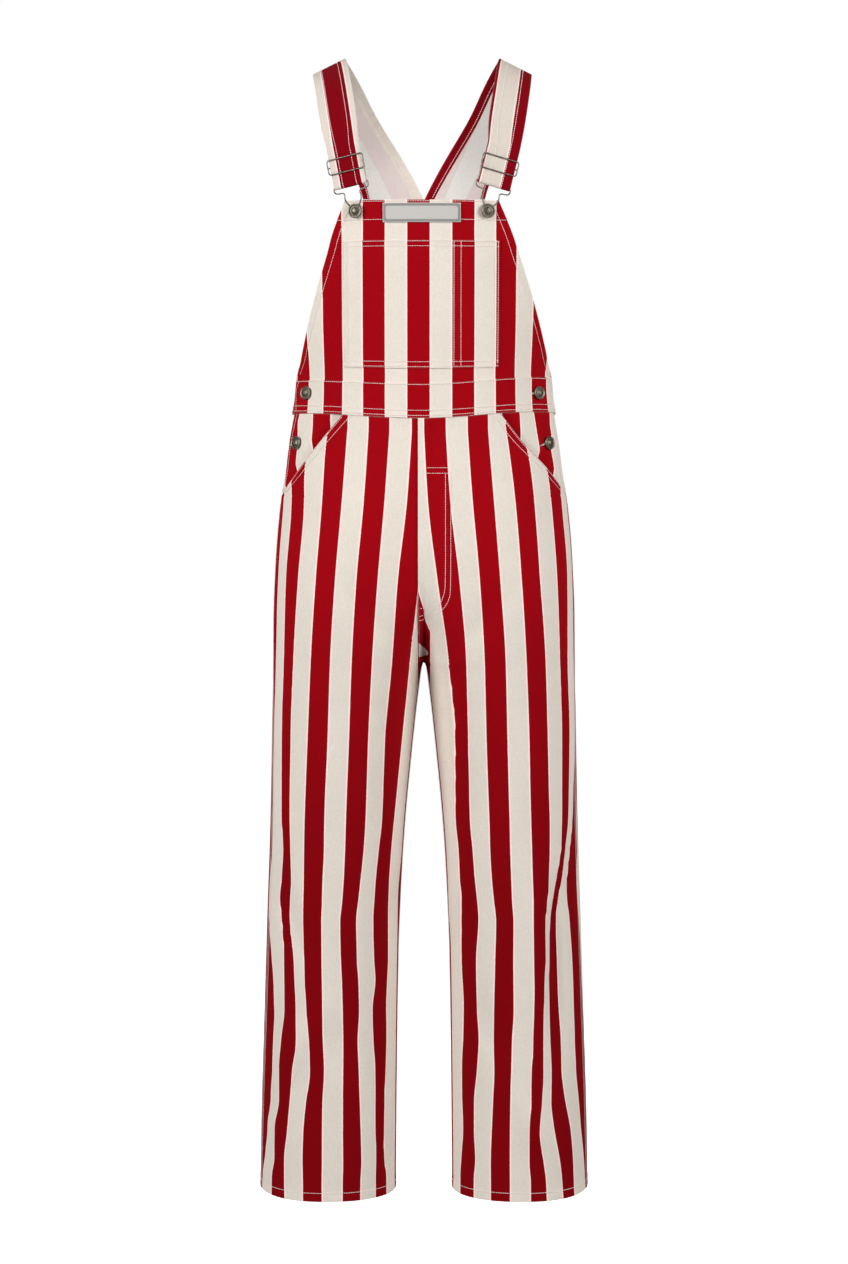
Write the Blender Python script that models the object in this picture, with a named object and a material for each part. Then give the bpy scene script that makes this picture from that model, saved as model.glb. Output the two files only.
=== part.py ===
"""Striped bib dungarees, filled out and hanging as worn.

Metres, +Z up. The origin is midway between the tops of the two shoulder straps,
the front faces -Y, and "right" is the +X side. Every cloth piece is a thin closed
wall. The pieces of the body lie on one form: a section for each height, which is
a full ring down to the crotch and one loop for each leg below it. A place on the
form is a side, a turn and a height. The turn runs from 0 at the centre front or
inseam, through 0.5 at the side seam, to 1 at the centre back or inseam.
"""

from collections import namedtuple
from math import cos, pi, radians, sin

import bmesh
import bpy
import numpy as np

# Driving sizes
CLOTH = 0.0014
STRAP_CLOTH = 0.0018
SEAM_GAP = 0.0004
LAYER_GAP = 0.0003
OVER = CLOTH + LAYER_GAP
BIB_TOP = -0.1824
WAIST = -0.4385
WAIST_DIP = 0.0062
OPENING_FOOT = -0.5400
CROTCH = -0.7475
CROTCH_ZONE = (-0.8100, -0.6400)
HEM = -1.4315
HEM_TURN = 0.012
BAND_TOP = -0.3925
POCKET_TOP = -0.2288
POCKET_FOOT = -0.3800
POCKET_REACH_LEFT = 0.1010
POCKET_REACH_RIGHT = 0.0925
STRAP_SEAM = -0.1600
# How square the outer side of every section is: 2 is an ellipse
OUTER_POWER = 2.25
# How deep the facing and the placket lie under the front, at the side opening
FACING_DEPTH = 0.0040
PLACKET_DEPTH = 0.0072
PLACKET_TOP = -0.3850
PLACKET_UNDER_FRONT = 0.024
PLACKET_UNDER_BACK = 0.014
# The back leg's front edge dips behind the front one beside the opening
TUCK_DEPTH = 0.0025
TUCK_REACH = 0.030
SLASH_ROWS = 7
EDGE_HEM = 0.009
LEG_COLUMNS = 13
# Plumb lines down the bib between the pocket's two sides
BIB_PLUMB = (-0.075, -0.050, -0.025, 0.0, 0.025, 0.050, 0.072)
# Columns from the pocket's side out to the bib's edge, where the bib turns round the chest
BIB_SIDE_COLUMNS = 4
PATCH_TOP = -0.1863
PATCH_FOOT = -0.2090
PATCH_REACH_LEFT = 0.0505
PATCH_REACH_RIGHT = 0.0460
PATCH_CLOTH = 0.0012

# One row for each height: where the outline and the inner edge of a leg are, how
# far the form reaches to the front and the back, how square its inner side is, how
# far the cloth bridges the dip between the legs, and how far forward the side seam is.
# Above the crotch the inner edge is negative, so the loop is cut off at the centre.
Level = namedtuple("Level", "height outer inner front back power bridge seam_forward")
FORM = [
    Level(-1.4330, 0.2116, 0.0365, 0.0740, 0.0780, 2.20, 0.00, 0.018),
    Level(-1.3410, 0.2099, 0.0357, 0.0740, 0.0780, 2.20, 0.00, 0.020),
    Level(-1.2150, 0.2056, 0.0343, 0.0750, 0.0800, 2.20, 0.00, 0.022),
    Level(-1.1200, 0.2022, 0.0328, 0.0770, 0.0820, 2.20, 0.00, 0.024),
    Level(-1.0600, 0.2002, 0.0305, 0.0800, 0.0840, 2.25, 0.00, 0.026),
    Level(-0.9970, 0.1977, 0.0272, 0.0840, 0.0880, 2.30, 0.00, 0.028),
    Level(-0.9350, 0.1957, 0.0226, 0.0890, 0.0930, 2.35, 0.00, 0.029),
    Level(-0.8730, 0.1943, 0.0166, 0.0950, 0.0990, 2.40, 0.00, 0.028),
    Level(-0.8110, 0.1931, 0.0100, 0.1010, 0.1060, 2.50, 0.00, 0.027),
    Level(-0.7800, 0.1922, 0.0062, 0.1050, 0.1100, 2.60, 0.00, 0.026),
    Level(-0.7620, 0.1920, 0.0038, 0.1070, 0.1130, 2.70, 0.00, 0.025),
    Level(CROTCH, 0.1918, 0.0000, 0.1090, 0.1160, 2.80, 0.00, 0.024),
    Level(-0.7350, 0.1915, -0.0016, 0.1110, 0.1190, 2.90, 0.02, 0.023),
    Level(-0.7150, 0.1912, -0.0055, 0.1140, 0.1240, 3.00, 0.12, 0.021),
    Level(-0.6800, 0.1905, -0.0170, 0.1180, 0.1310, 3.00, 0.42, 0.018),
    Level(-0.6400, 0.1886, -0.0380, 0.1210, 0.1350, 3.00, 0.72, 0.014),
    Level(-0.6000, 0.1862, -0.0700, 0.1230, 0.1340, 2.80, 0.90, 0.011),
    Level(-0.5560, 0.1818, -0.1100, 0.1230, 0.1280, 2.60, 1.00, 0.010),
    Level(-0.5160, 0.1772, -0.1400, 0.1210, 0.1180, 2.40, 1.00, 0.010),
    Level(-0.4550, 0.1685, -0.1655, 0.1175, 0.1050, 2.30, 1.00, 0.012),
    Level(-0.4000, 0.1605, -0.1605, 0.1170, 0.1000, 2.25, 1.00, 0.012),
    Level(-0.3200, 0.1715, -0.1715, 0.1200, 0.1050, 2.25, 1.00, 0.012),
    Level(-0.2400, 0.1755, -0.1755, 0.1240, 0.1110, 2.25, 1.00, 0.012),
    Level(-0.1500, 0.1720, -0.1720, 0.1260, 0.1100, 2.25, 1.00, 0.012),
]

# Soft folds of the cloth. Each runs along the leg at a distance from the side seam,
# + on the front and - on the back, and stands out (+) or in (-) by its depth.
Fold = namedtuple("Fold", "side from_seam height half_length half_width lean depth")
FOLDS = [
    Fold(+1, 0.0525, -1.130, 0.160, 0.011, +0.003, -0.0080),
    Fold(+1, 0.0850, -1.120, 0.150, 0.014, -0.002, +0.0055),
    Fold(+1, 0.1900, -1.050, 0.060, 0.022, -0.015, +0.0035),
    Fold(+1, 0.1500, -1.210, 0.070, 0.020, +0.020, -0.0030),
    Fold(+1, 0.1000, -1.330, 0.060, 0.018, +0.010, +0.0035),
    Fold(+1, -0.0700, -0.960, 0.110, 0.020, -0.030, -0.0045),
    Fold(+1, -0.1600, -1.180, 0.120, 0.022, +0.025, +0.0040),
    Fold(-1, 0.0550, -1.080, 0.070, 0.017, -0.025, -0.0045),
    Fold(-1, 0.0700, -1.230, 0.070, 0.020, +0.025, +0.0045),
    Fold(-1, 0.2000, -1.060, 0.070, 0.020, +0.015, -0.0035),
    Fold(-1, 0.1250, -1.240, 0.060, 0.020, -0.020, -0.0035),
    Fold(-1, 0.1900, -1.330, 0.060, 0.018, -0.010, +0.0030),
    Fold(-1, -0.0750, -0.980, 0.120, 0.020, +0.030, -0.0045),
    Fold(-1, -0.1500, -1.200, 0.110, 0.022, -0.025, +0.0040),
    Fold(+1, 0.1700, -0.690, 0.060, 0.020, -0.035, -0.0030),
    Fold(-1, 0.1700, -0.680, 0.060, 0.020, -0.035, -0.0030),
    Fold(+1, -0.1700, -0.790, 0.050, 0.024, +0.040, -0.0040),
    Fold(-1, -0.1650, -0.785, 0.050, 0.024, +0.040, -0.0040),
]

# Edge lines, as distance from the middle for each height
Edge = namedtuple("Edge", "height reach")
BibEdge = namedtuple("BibEdge", "height left right")
BIB_EDGE = [
    BibEdge(-0.4500, 0.1556, 0.1556),
    BibEdge(-0.3959, 0.1547, 0.1553),
    BibEdge(-0.3567, 0.1492, 0.1495),
    BibEdge(-0.3180, 0.1396, 0.1392),
    BibEdge(-0.2796, 0.1288, 0.1276),
    BibEdge(-0.2414, 0.1171, 0.1146),
    BibEdge(-0.2225, 0.1120, 0.1083),
    BibEdge(BIB_TOP, 0.0957, 0.0903),
]
SLASH_EDGE = [Edge(OPENING_FOOT, 0.1790), Edge(-0.4800, 0.1345), Edge(WAIST, 0.0995)]
OPENING_EDGE = [
    Edge(OPENING_FOOT, 0.1770),
    Edge(-0.5230, 0.1690),
    Edge(-0.5070, 0.1662),
    Edge(-0.4700, 0.1630),
    Edge(WAIST, 0.1595),
    Edge(-0.3700, 0.1550),
]
# The back panel's armhole edge, as distance round the form from the centre back
BACK_EDGE = [
    Edge(-0.4500, 0.2400),
    Edge(-0.4100, 0.2300),
    Edge(-0.3950, 0.2080),
    Edge(-0.3700, 0.1760),
    Edge(-0.3400, 0.1490),
    Edge(-0.3050, 0.1240),
    Edge(-0.2650, 0.1040),
    Edge(-0.2250, 0.0880),
    Edge(-0.1900, 0.0800),
    Edge(STRAP_SEAM, 0.0795),
]

# The strap from the chest, over the shoulder, to the crossing at the back: how far its
# middle is from the centre on the left and on the right, where that is, the way its
# width runs (outward) and its width.
Strap = namedtuple("Strap", "left right y z across_x across_y across_z width")
STRAP_PATH = [
    Strap(0.1032, 0.1004, -0.1060, -0.0860, 0.96, 0.20, -0.19, 0.0430),
    Strap(0.1100, 0.1070, -0.0850, -0.0440, 0.93, 0.15, -0.28, 0.0435),
    Strap(0.1155, 0.1115, -0.0500, -0.0160, 0.90, 0.05, -0.40, 0.0440),
    Strap(0.1180, 0.1140, -0.0060, -0.0075, 0.89, 0.00, -0.455, 0.0445),
    Strap(0.1155, 0.1115, 0.0350, -0.0130, 0.88, -0.05, -0.470, 0.0455),
    Strap(0.1038, 0.1005, 0.0660, -0.0340, 0.86, -0.12, -0.500, 0.0480),
    Strap(0.0830, 0.0812, 0.0880, -0.0720, 0.85, -0.13, -0.500, 0.0535),
    Strap(0.0622, 0.0618, 0.1010, -0.1130, 0.88, -0.11, -0.420, 0.0630),
    Strap(0.0484, 0.0484, 0.1045, -0.1400, 0.97, -0.09, -0.200, 0.0700),
    Strap(0.0398, 0.0398, 0.1068, STRAP_SEAM + SEAM_GAP, 1.00, -0.09, 0.000, 0.0785),
]
STRAP_FOOT_WIDTH = 0.0415
# Where each bib button is, and how far the strap's foot above it leans out
Foot = namedtuple("Foot", "side button_reach lean")
FEET = [Foot(-1, 0.0822, radians(11.5)), Foot(+1, 0.0763, radians(14.5))]

# Metal: a wire hook and a two-bar slide on each strap, and domed tack buttons
HOOK_WIRE = 0.0017
SLIDE_WIRE = 0.0017
SLIDE_HEIGHT = 0.0245
SLIDE_HALF_WIDTH = 0.0230
SLIDE_HALF_DEPTH = 0.0088
SLIDE_CORNER = 0.0035
BIB_BUTTON = 0.0176
BIB_BUTTON_HEIGHT = -0.1937
BUTTON_BELOW_BAR = 0.0328
SIDE_BUTTON = 0.0165
SIDE_BUTTON_SHANK = 0.0020
UPPER_BUTTON_REACH = 0.1450
UPPER_BUTTON_HEIGHT = -0.4140
LOWER_BUTTON_REACH = 0.1545
LOWER_BUTTON_HEIGHT = -0.4745

RED = (0.34, 0.008, 0.016)
GREY_LABEL = (0.36, 0.35, 0.33)
STEEL = (0.48, 0.47, 0.44)


def clear_scene():
    for thing in list(bpy.data.objects):
        bpy.data.objects.remove(thing, do_unlink=True)


def through(table, column, height):
    """A smooth value between a table's rows, without overshoot."""
    known = np.array([row[0] for row in table])
    values = np.array([getattr(row, column) for row in table])
    step = np.diff(known)
    slope = np.diff(values) / step
    tangent = np.zeros(len(known))
    for k in range(1, len(known) - 1):
        if slope[k - 1] * slope[k] > 0:
            tangent[k] = 2 * slope[k - 1] * slope[k] / (slope[k - 1] + slope[k])
    tangent[0] = slope[0]
    tangent[-1] = slope[-1]
    height = float(np.clip(height, known[0], known[-1]))
    k = int(np.clip(np.searchsorted(known, height) - 1, 0, len(step) - 1))
    t = (height - known[k]) / step[k]
    rise = tangent[k] * step[k]
    fall = tangent[k + 1] * step[k]
    ease = t * t * (3 - 2 * t)
    return (
        values[k] * (1 - ease)
        + values[k + 1] * ease
        + rise * t * (1 - t) ** 2
        - fall * t * t * (1 - t)
    )


SECTIONS = {}


def section(height):
    """The section at a height: its points on the +X side and the way round to each."""
    key = round(height, 6)
    if key in SECTIONS:
        return SECTIONS[key]
    outer, inner, front, back, power, bridge, forward = (
        through(FORM, name, height) for name in Level._fields[1:]
    )
    middle = (outer + inner) / 2
    half = (outer - inner) / 2
    reach = min(1.0, middle / half)
    start = np.arccos(-(reach ** (power / 2)))
    angle = np.linspace(start, -start, 801)
    c = np.cos(angle)
    s = np.sin(angle)
    p = np.where(c < 0, power, OUTER_POWER)
    x = middle + half * np.sign(c) * np.abs(c) ** (2 / p)
    depth = np.where(s > 0, front, back)
    rise = np.abs(s) ** (2 / p)
    rise = np.where(c < 0, rise + (1 - rise) * bridge, rise)
    y = -depth * np.sign(s) * rise
    way = np.concatenate([[0], np.cumsum(np.hypot(np.diff(x), np.diff(y)))])
    side_seam = way[400] - forward
    SECTIONS[key] = (x, y, way, side_seam)
    return SECTIONS[key]


def way_of(turn, height):
    """How far round the section a turn is, from the centre front or inseam."""
    _, _, way, seam = section(height)
    if turn < 0.5:
        return turn / 0.5 * seam
    return seam + (turn - 0.5) / 0.5 * (way[-1] - seam)


def turn_of(distance, height):
    """The turn that lies a distance round the section from its start."""
    _, _, way, seam = section(height)
    if distance < seam:
        return 0.5 * distance / seam
    return 0.5 + 0.5 * (distance - seam) / (way[-1] - seam)


def front_turn(reach, height):
    """The turn on the front where the form is this far from the middle."""
    x, _, way, _ = section(height)
    outermost = int(np.argmax(x))
    return turn_of(float(np.interp(reach, x[: outermost + 1], way[: outermost + 1])), height)


def dip(distance, height):
    """How far the front waist seam hangs lower at the centre than at the sides."""
    reach = 0.16
    fade = 0.07
    if abs(distance) > reach:
        return 0.0
    return WAIST_DIP * cos(pi / 2 * distance / reach) ** 2 * np.exp(-(((height - WAIST) / fade) ** 2))


def fold_height(side, turn, height):
    """How far the folds push the cloth out at a place."""
    from_seam = section(height)[3] - way_of(turn, height)
    total = 0.0
    for fold in FOLDS:
        along = (height - fold.height) / fold.half_length
        if fold.side == side and abs(along) < 1:
            across = (from_seam - fold.from_seam - fold.lean * along) / fold.half_width
            total += fold.depth * cos(pi / 2 * along) ** 2 * np.exp(-across * across)
    return total


def bare_place(side, turn, height):
    if turn < 0:
        side, turn = -side, -turn
    turn = min(turn, 1.0)
    x, y, way, _ = section(height)
    distance = way_of(turn, height)
    px = float(np.interp(distance, way, x))
    py = float(np.interp(distance, way, y))
    low = dip(distance, height) if turn < 0.5 else 0.0
    return np.array([side * px, py, height - low])


def place(side, turn, height, lift=0.0):
    """A point on the form, moved out by the folds and the lift."""
    nudge = 0.004
    rise = 0.001
    ahead = bare_place(side, turn + nudge, height)
    behind = bare_place(side, turn - nudge, height) if turn > nudge else bare_place(side, turn, height)
    above = bare_place(side, turn, height + rise)
    below = bare_place(side, turn, height - rise)
    outward = np.cross(ahead - behind, above - below) * side
    outward /= np.linalg.norm(outward)
    return bare_place(side, turn, height) + outward * (fold_height(side, turn, height) + lift)


def material(name, colour, roughness, metallic=0.0):
    made = bpy.data.materials.get(name)
    if made is None:
        made = bpy.data.materials.new(name)
        made.use_nodes = True
        shader = made.node_tree.nodes["Principled BSDF"]
        shader.inputs["Base Color"].default_value = (*colour, 1)
        shader.inputs["Roughness"].default_value = roughness
        shader.inputs["Metallic"].default_value = metallic
    return made


def add_object(name, vertices, faces, finish, smooth=True):
    mesh = bpy.data.meshes.new(name)
    mesh.from_pydata([tuple(float(c) for c in v) for v in vertices], [], faces)
    mesh.materials.append(finish)
    mesh.update()
    body = bmesh.new()
    body.from_mesh(mesh)
    bmesh.ops.recalc_face_normals(body, faces=body.faces)
    body.to_mesh(mesh)
    body.free()
    if smooth:
        mesh.shade_smooth()
        mesh.set_sharp_from_angle(angle=radians(40))
    thing = bpy.data.objects.new(name, mesh)
    bpy.context.scene.collection.objects.link(thing)
    return thing


def wall(name, outer, inner, finish):
    """A closed cloth wall between two grids of points, row by row."""
    rows = len(outer)
    columns = len(outer[0])
    vertices = [p for row in outer for p in row] + [p for row in inner for p in row]
    under = rows * columns
    faces = []
    for r in range(rows - 1):
        for c in range(columns - 1):
            a = r * columns + c
            b = a + 1
            d = a + columns
            e = d + 1
            faces.append((a, b, e))
            faces.append((a, e, d))
            faces.append((under + a, under + e, under + b))
            faces.append((under + a, under + d, under + e))
    rim = [(0, c) for c in range(columns)]
    rim += [(r, columns - 1) for r in range(1, rows)]
    rim += [(rows - 1, c) for c in range(columns - 2, -1, -1)]
    rim += [(r, 0) for r in range(rows - 2, 0, -1)]
    for k, (r, c) in enumerate(rim):
        nr, nc = rim[(k + 1) % len(rim)]
        a = r * columns + c
        b = nr * columns + nc
        faces.append((a, under + a, under + b))
        faces.append((a, under + b, b))
    return add_object(name, vertices, faces, finish)


def cloth(name, side, turns_at, heights, finish, lift=None, thickness=None):
    """A piece on the form. turns_at(height) gives its columns, lift(turn, height) its layer."""
    outer = []
    inner = []
    for height in heights:
        turns = turns_at(height)
        lifts = [lift(t, height) if lift else 0.0 for t in turns]
        thick = thickness(height) if thickness else CLOTH
        outer.append([place(side, t, height, up) for t, up in zip(turns, lifts)])
        inner.append([place(side, t, height, up - thick) for t, up in zip(turns, lifts)])
    return wall(name, outer, inner, finish)


def shares(first, last, count):
    return list(np.linspace(first, last, count))


def leg_heights(top):
    """Rows down a leg, closer where the slash ends and where the crotch curves."""
    stops = [
        (top, OPENING_FOOT, SLASH_ROWS),
        (OPENING_FOOT, -0.690, 5),
        (-0.690, -0.735, 3),
        (-0.735, CROTCH, 3),
        (CROTCH, -0.780, 2),
        (-0.780, HEM + HEM_TURN, 14),
        (HEM + HEM_TURN, HEM, 1),
    ]
    heights = [top]
    for start, end, steps in stops:
        heights += shares(start, end, steps + 1)[1:]
    return heights


def half_gap(height):
    return 0.5 * SEAM_GAP / section(height)[3]


def width_at(height, front):
    """A leg panel's width round the form, from the side seam to its inner edge."""
    _, _, way, seam = section(height)
    return seam if front else way[-1] - seam


def leg_turn(share, height, front):
    """The turn at a share of a leg panel's width, from its inner edge to the side seam.

    Past the crotch the width changes fast, and only the panel's inner half takes it up.
    """
    full = width_at(height, front)
    calm_share = 0.4
    low, high = CROTCH_ZONE
    part = (height - low) / (high - low)
    calm = full
    if 0 < part < 1:
        calm = width_at(low, front) * (1 - part) + width_at(high, front) * part
    inward = max(0.0, (1 - share - calm_share) / (1 - calm_share))
    away = calm * (1 - share) + (full - calm) * inward**2
    seam = section(height)[3]
    return turn_of(seam - away if front else seam + away, height)


def hem_thickness(height):
    """Two layers where the hem is turned up."""
    return 2 * CLOTH if height < HEM + HEM_TURN + 1e-6 else CLOTH


def front_leg(side, name, finish):
    def turns(height):
        first = half_gap(height)
        last = 0.5 - first
        if height > OPENING_FOOT:
            last = min(last, front_turn(through(SLASH_EDGE, "reach", height), height))
        hem = EDGE_HEM / section(height)[3]
        inner = [leg_turn(share, height, True) for share in shares(0, 2 * last - hem, LEG_COLUMNS - 1)]
        return [max(first, inner[0]), *inner[1:], last]

    return cloth(name, side, turns, leg_heights(WAIST - SEAM_GAP), finish, thickness=hem_thickness)


def back_leg(side, name, finish):
    def turns(height):
        found = [leg_turn(share, height, False) for share in shares(1, 0, LEG_COLUMNS)]
        return [0.5 + half_gap(height), *found[1:-1], 1 - half_gap(height)]

    def tuck(turn, height):
        near = max(0.0, 1 - (way_of(turn, height) - way_of(0.5, height)) / TUCK_REACH)
        within = np.clip((height - OPENING_FOOT) / TUCK_REACH, 0, 1)
        return -TUCK_DEPTH * near * within

    return cloth(name, side, turns, leg_heights(WAIST - SEAM_GAP), finish, lift=tuck, thickness=hem_thickness)


def hip_facing(side, name, finish):
    """The striped piece inside the slash pocket, out to the buttoned edge."""
    def turns(height):
        first = front_turn(through(SLASH_EDGE, "reach", height), height)
        last = front_turn(through(OPENING_EDGE, "reach", height), height)
        lap = 0.5 * EDGE_HEM / section(height)[3]
        return [first - lap] + shares(first, max(last, first + lap / 4), 5)

    heights = shares(WAIST - SEAM_GAP, OPENING_FOOT, SLASH_ROWS + 1)
    return cloth(name, side, turns, heights, finish, lift=lambda t, h: -FACING_DEPTH)


def side_placket(side, name, finish):
    """The strip that runs from the back under the buttoned edge."""
    def turns(height):
        edge = front_turn(through(OPENING_EDGE, "reach", height), height)
        seam = section(height)[3]
        first = edge - 0.5 * PLACKET_UNDER_FRONT / seam
        return shares(first, 0.5 + 0.5 * PLACKET_UNDER_BACK / seam, 7)

    heights = shares(PLACKET_TOP, WAIST, 3) + shares(WAIST - SEAM_GAP, OPENING_FOOT, SLASH_ROWS + 1)[1:]
    heights.append(OPENING_FOOT - EDGE_HEM)
    return cloth(name, side, turns, heights, finish, lift=lambda t, h: -PLACKET_DEPTH)


def bib_columns(height):
    """Distances across the bib from its centre: plumb lines, then the two edges."""
    left_edge, right_edge = (
        way_of(front_turn(through(BIB_EDGE, word, height), height), height) for word in ("left", "right")
    )
    left_squeeze = min(1.0, (left_edge - EDGE_HEM) / POCKET_REACH_LEFT)
    right_squeeze = min(1.0, (right_edge - EDGE_HEM) / POCKET_REACH_RIGHT)
    plumb = [-POCKET_REACH_LEFT, *BIB_PLUMB, POCKET_REACH_RIGHT]
    inner = [p * (right_squeeze if p > 0 else left_squeeze) for p in plumb]
    left = shares(-left_edge, inner[0], BIB_SIDE_COLUMNS + 1)[:-1]
    right = shares(inner[-1], right_edge, BIB_SIDE_COLUMNS + 1)[1:]
    return [*left, *inner, *right]


def bib_piece(name, heights, finish, first=0, last=None, lift=0.0):
    """A piece on the bib's own columns, so that layers keep parallel faces."""
    def turns(height):
        columns = bib_columns(height)[first:last]
        return [np.sign(d) * turn_of(abs(d), height) for d in columns]

    return cloth(name, +1, turns, heights, finish, lift=lambda t, h: lift)


BIB_HEIGHTS = (
    shares(BIB_TOP, POCKET_TOP, 4)[:-1]
    + shares(POCKET_TOP, POCKET_FOOT, 6)
    + [BAND_TOP]
    + shares(BAND_TOP, WAIST, 3)[1:]
)


def bib(finish):
    return bib_piece("bib", BIB_HEIGHTS, finish)


def bib_pocket(finish):
    heights = [h for h in BIB_HEIGHTS if POCKET_FOOT - 1e-6 < h < POCKET_TOP + 1e-6]
    return bib_piece("bib_pocket", heights, finish, BIB_SIDE_COLUMNS, -BIB_SIDE_COLUMNS, OVER)


def waistband(finish):
    heights = [h for h in BIB_HEIGHTS if h < BAND_TOP + 1e-6]
    return bib_piece("waistband", heights, finish, lift=OVER)


def name_patch(finish):
    """The plain label at the bib's top edge."""
    def turns(height):
        reaches = shares(-PATCH_REACH_LEFT, PATCH_REACH_RIGHT, 6)
        return [np.sign(d) * turn_of(abs(d), height) for d in reaches]

    def lift(turn, height):
        return OVER + LAYER_GAP

    heights = [PATCH_TOP, PATCH_FOOT]
    return cloth("name_patch", +1, turns, heights, finish, lift, lambda height: PATCH_CLOTH)


def back_panel(finish):
    """The upper back, from the strap crossing to the back waist seam."""
    def turns(height):
        total = section(height)[2][-1]
        full = total - section(height)[3]
        reach = min(through(BACK_EDGE, "reach", height), full - SEAM_GAP / 2)
        found = shares(-reach, reach, 18)
        return [turn_of(total - abs(d), height) * (1 if d > 0 else -1) for d in found]

    heights = shares(STRAP_SEAM, -0.370, 9) + shares(-0.370, WAIST, 5)[1:]
    outer = []
    inner = []
    for height in heights:
        spots = [(int(np.sign(t)), abs(t)) for t in turns(height)]
        outer.append([place(side, t, height) for side, t in spots])
        inner.append([place(side, t, height, -CLOTH) for side, t in spots])
    return wall("back_panel", outer, inner, finish)


def unit(vector):
    return np.asarray(vector, float) / np.linalg.norm(vector)


def smooth_path(points, samples):
    """Points along a Catmull-Rom curve through the rows of an array."""
    points = np.asarray(points, float)
    padded = np.vstack([2 * points[0] - points[1], points, 2 * points[-1] - points[-2]])
    found = []
    for value in np.linspace(0, len(points) - 1, samples):
        k = min(int(value), len(points) - 2)
        t = value - k
        a, b, c, d = padded[k : k + 4]
        found.append(
            0.5 * (2 * b + (c - a) * t + (2 * a - 5 * b + 4 * c - d) * t**2 + (3 * b - a - 3 * c + d) * t**3)
        )
    return np.array(found)


# How far the strap's middle lies from the hook bar and from the slide's bar, and how
# far behind the hook bar the slide's bar is
FOLD = HOOK_WIRE / 2 + LAYER_GAP + STRAP_CLOTH / 2
WRAP = SLIDE_WIRE / 2 + LAYER_GAP + STRAP_CLOTH / 2
BAR_BACK = FOLD - WRAP - STRAP_CLOTH - LAYER_GAP
STRAP_ROWS = 26


class StrapFrame:
    """Where a strap's foot hangs: its hook bar, and the ways out, up and forward."""

    def __init__(self, side):
        self.side = side
        foot = next(row for row in FEET if row.side == side)
        turn = front_turn(foot.button_reach, BIB_BUTTON_HEIGHT)
        seat = place(+1, turn, BIB_BUTTON_HEIGHT)
        forward = place(+1, turn, BIB_BUTTON_HEIGHT, 0.01) - seat
        forward[2] = 0
        self.forward = unit(forward)
        along = np.array([-self.forward[1], self.forward[0], 0])
        up = np.array([0, 0, 1.0])
        self.across = along * cos(foot.lean) - up * sin(foot.lean)
        self.up = along * sin(foot.lean) + up * cos(foot.lean)
        self.button_seat = seat
        lift = HOOK_WIRE / 2 + 2 * LAYER_GAP
        self.bar = seat + self.forward * lift + self.up * BUTTON_BELOW_BAR

    def at(self, out, rise, ahead):
        """A point of the foot: outward, up the strap, and forward of the hook bar."""
        point = self.bar + self.across * out + self.up * rise + self.forward * ahead
        return self.mirror(point)

    def mirror(self, point):
        return np.array([self.side * point[0], point[1], point[2]])


def ribbon(name, middles, acrosses, widths, thickness, finish):
    """A flat strap along a path, three columns wide, with square ends."""
    middles = np.asarray(middles)
    along = np.gradient(middles, axis=0)
    outer = []
    inner = []
    for point, across, width, way in zip(middles, acrosses, widths, along):
        across = unit(across)
        normal = unit(np.cross(way, across))
        ends = [point + across * width * share for share in (-0.5, -0.17, 0.17, 0.5)]
        outer.append([p + normal * thickness / 2 for p in ends])
        inner.append([p - normal * thickness / 2 for p in ends])
    return wall(name, outer, inner, finish)


def strap(side, name, finish):
    """Foot end round the slide's middle bar, down, round the hook bar, and up the front."""
    frame = StrapFrame(side)
    spots = [(SLIDE_HEIGHT - 0.0050, BAR_BACK + WRAP)]
    for angle in np.radians(shares(0, 180, 6)):
        spots.append((SLIDE_HEIGHT + WRAP * sin(angle), BAR_BACK + WRAP * cos(angle)))
    spots += [(SLIDE_HEIGHT - 0.006, BAR_BACK - WRAP), (SLIDE_HEIGHT - 0.014, -FOLD), (0.005, -FOLD)]
    for angle in np.radians(shares(180, 360, 6)):
        spots.append((FOLD * sin(angle), FOLD * cos(angle)))
    spots += [(0.010, FOLD), (0.022, FOLD), (0.036, FOLD), (0.048, FOLD)]
    foot = [frame.at(0, rise, ahead) for rise, ahead in spots]
    foot_across = [frame.mirror(frame.across)] * len(foot)
    foot_width = [STRAP_FOOT_WIDTH] * len(foot)
    rows = [[*foot[-1], *foot_across[-1], foot_width[-1]]]
    for r in STRAP_PATH:
        x = r.right if side > 0 else -r.left
        rows.append([x, r.y, r.z, side * r.across_x, r.across_y, r.across_z, r.width])
    over = smooth_path(rows, STRAP_ROWS + 1)[1:]
    middles = np.vstack([foot, over[:, :3]])
    acrosses = np.vstack([foot_across, over[:, 3:6]])
    widths = list(foot_width) + list(over[:, 6])
    return ribbon(name, middles, acrosses, widths, STRAP_CLOTH, finish)


def wire(name, path, diameter, finish, closed=True, sides=8):
    """A round wire along points, bent into a closed ring or left with flat ends."""
    path = np.asarray(path)
    count = len(path)
    vertices = []
    normal = None
    for k in range(count):
        ahead = path[(k + 1) % count] if closed or k < count - 1 else path[k]
        behind = path[k - 1] if closed or k > 0 else path[k]
        way = unit(ahead - behind)
        if normal is None:
            normal = unit(np.cross(way, (0.03, 1.0, 0.02)))
        normal = unit(normal - way * np.dot(normal, way))
        binormal = np.cross(way, normal)
        for side in range(sides):
            angle = 2 * pi * side / sides
            vertices.append(path[k] + (normal * cos(angle) + binormal * sin(angle)) * diameter / 2)
    faces = []
    for k in range(count if closed else count - 1):
        for side in range(sides):
            a = k * sides + side
            b = k * sides + (side + 1) % sides
            c = ((k + 1) % count) * sides + (side + 1) % sides
            d = ((k + 1) % count) * sides + side
            faces.append((a, b, c, d))
    if not closed:
        faces.append(tuple(range(sides)))
        faces.append(tuple(range((count - 1) * sides, count * sides)))
    return add_object(name, vertices, faces, finish)


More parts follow.
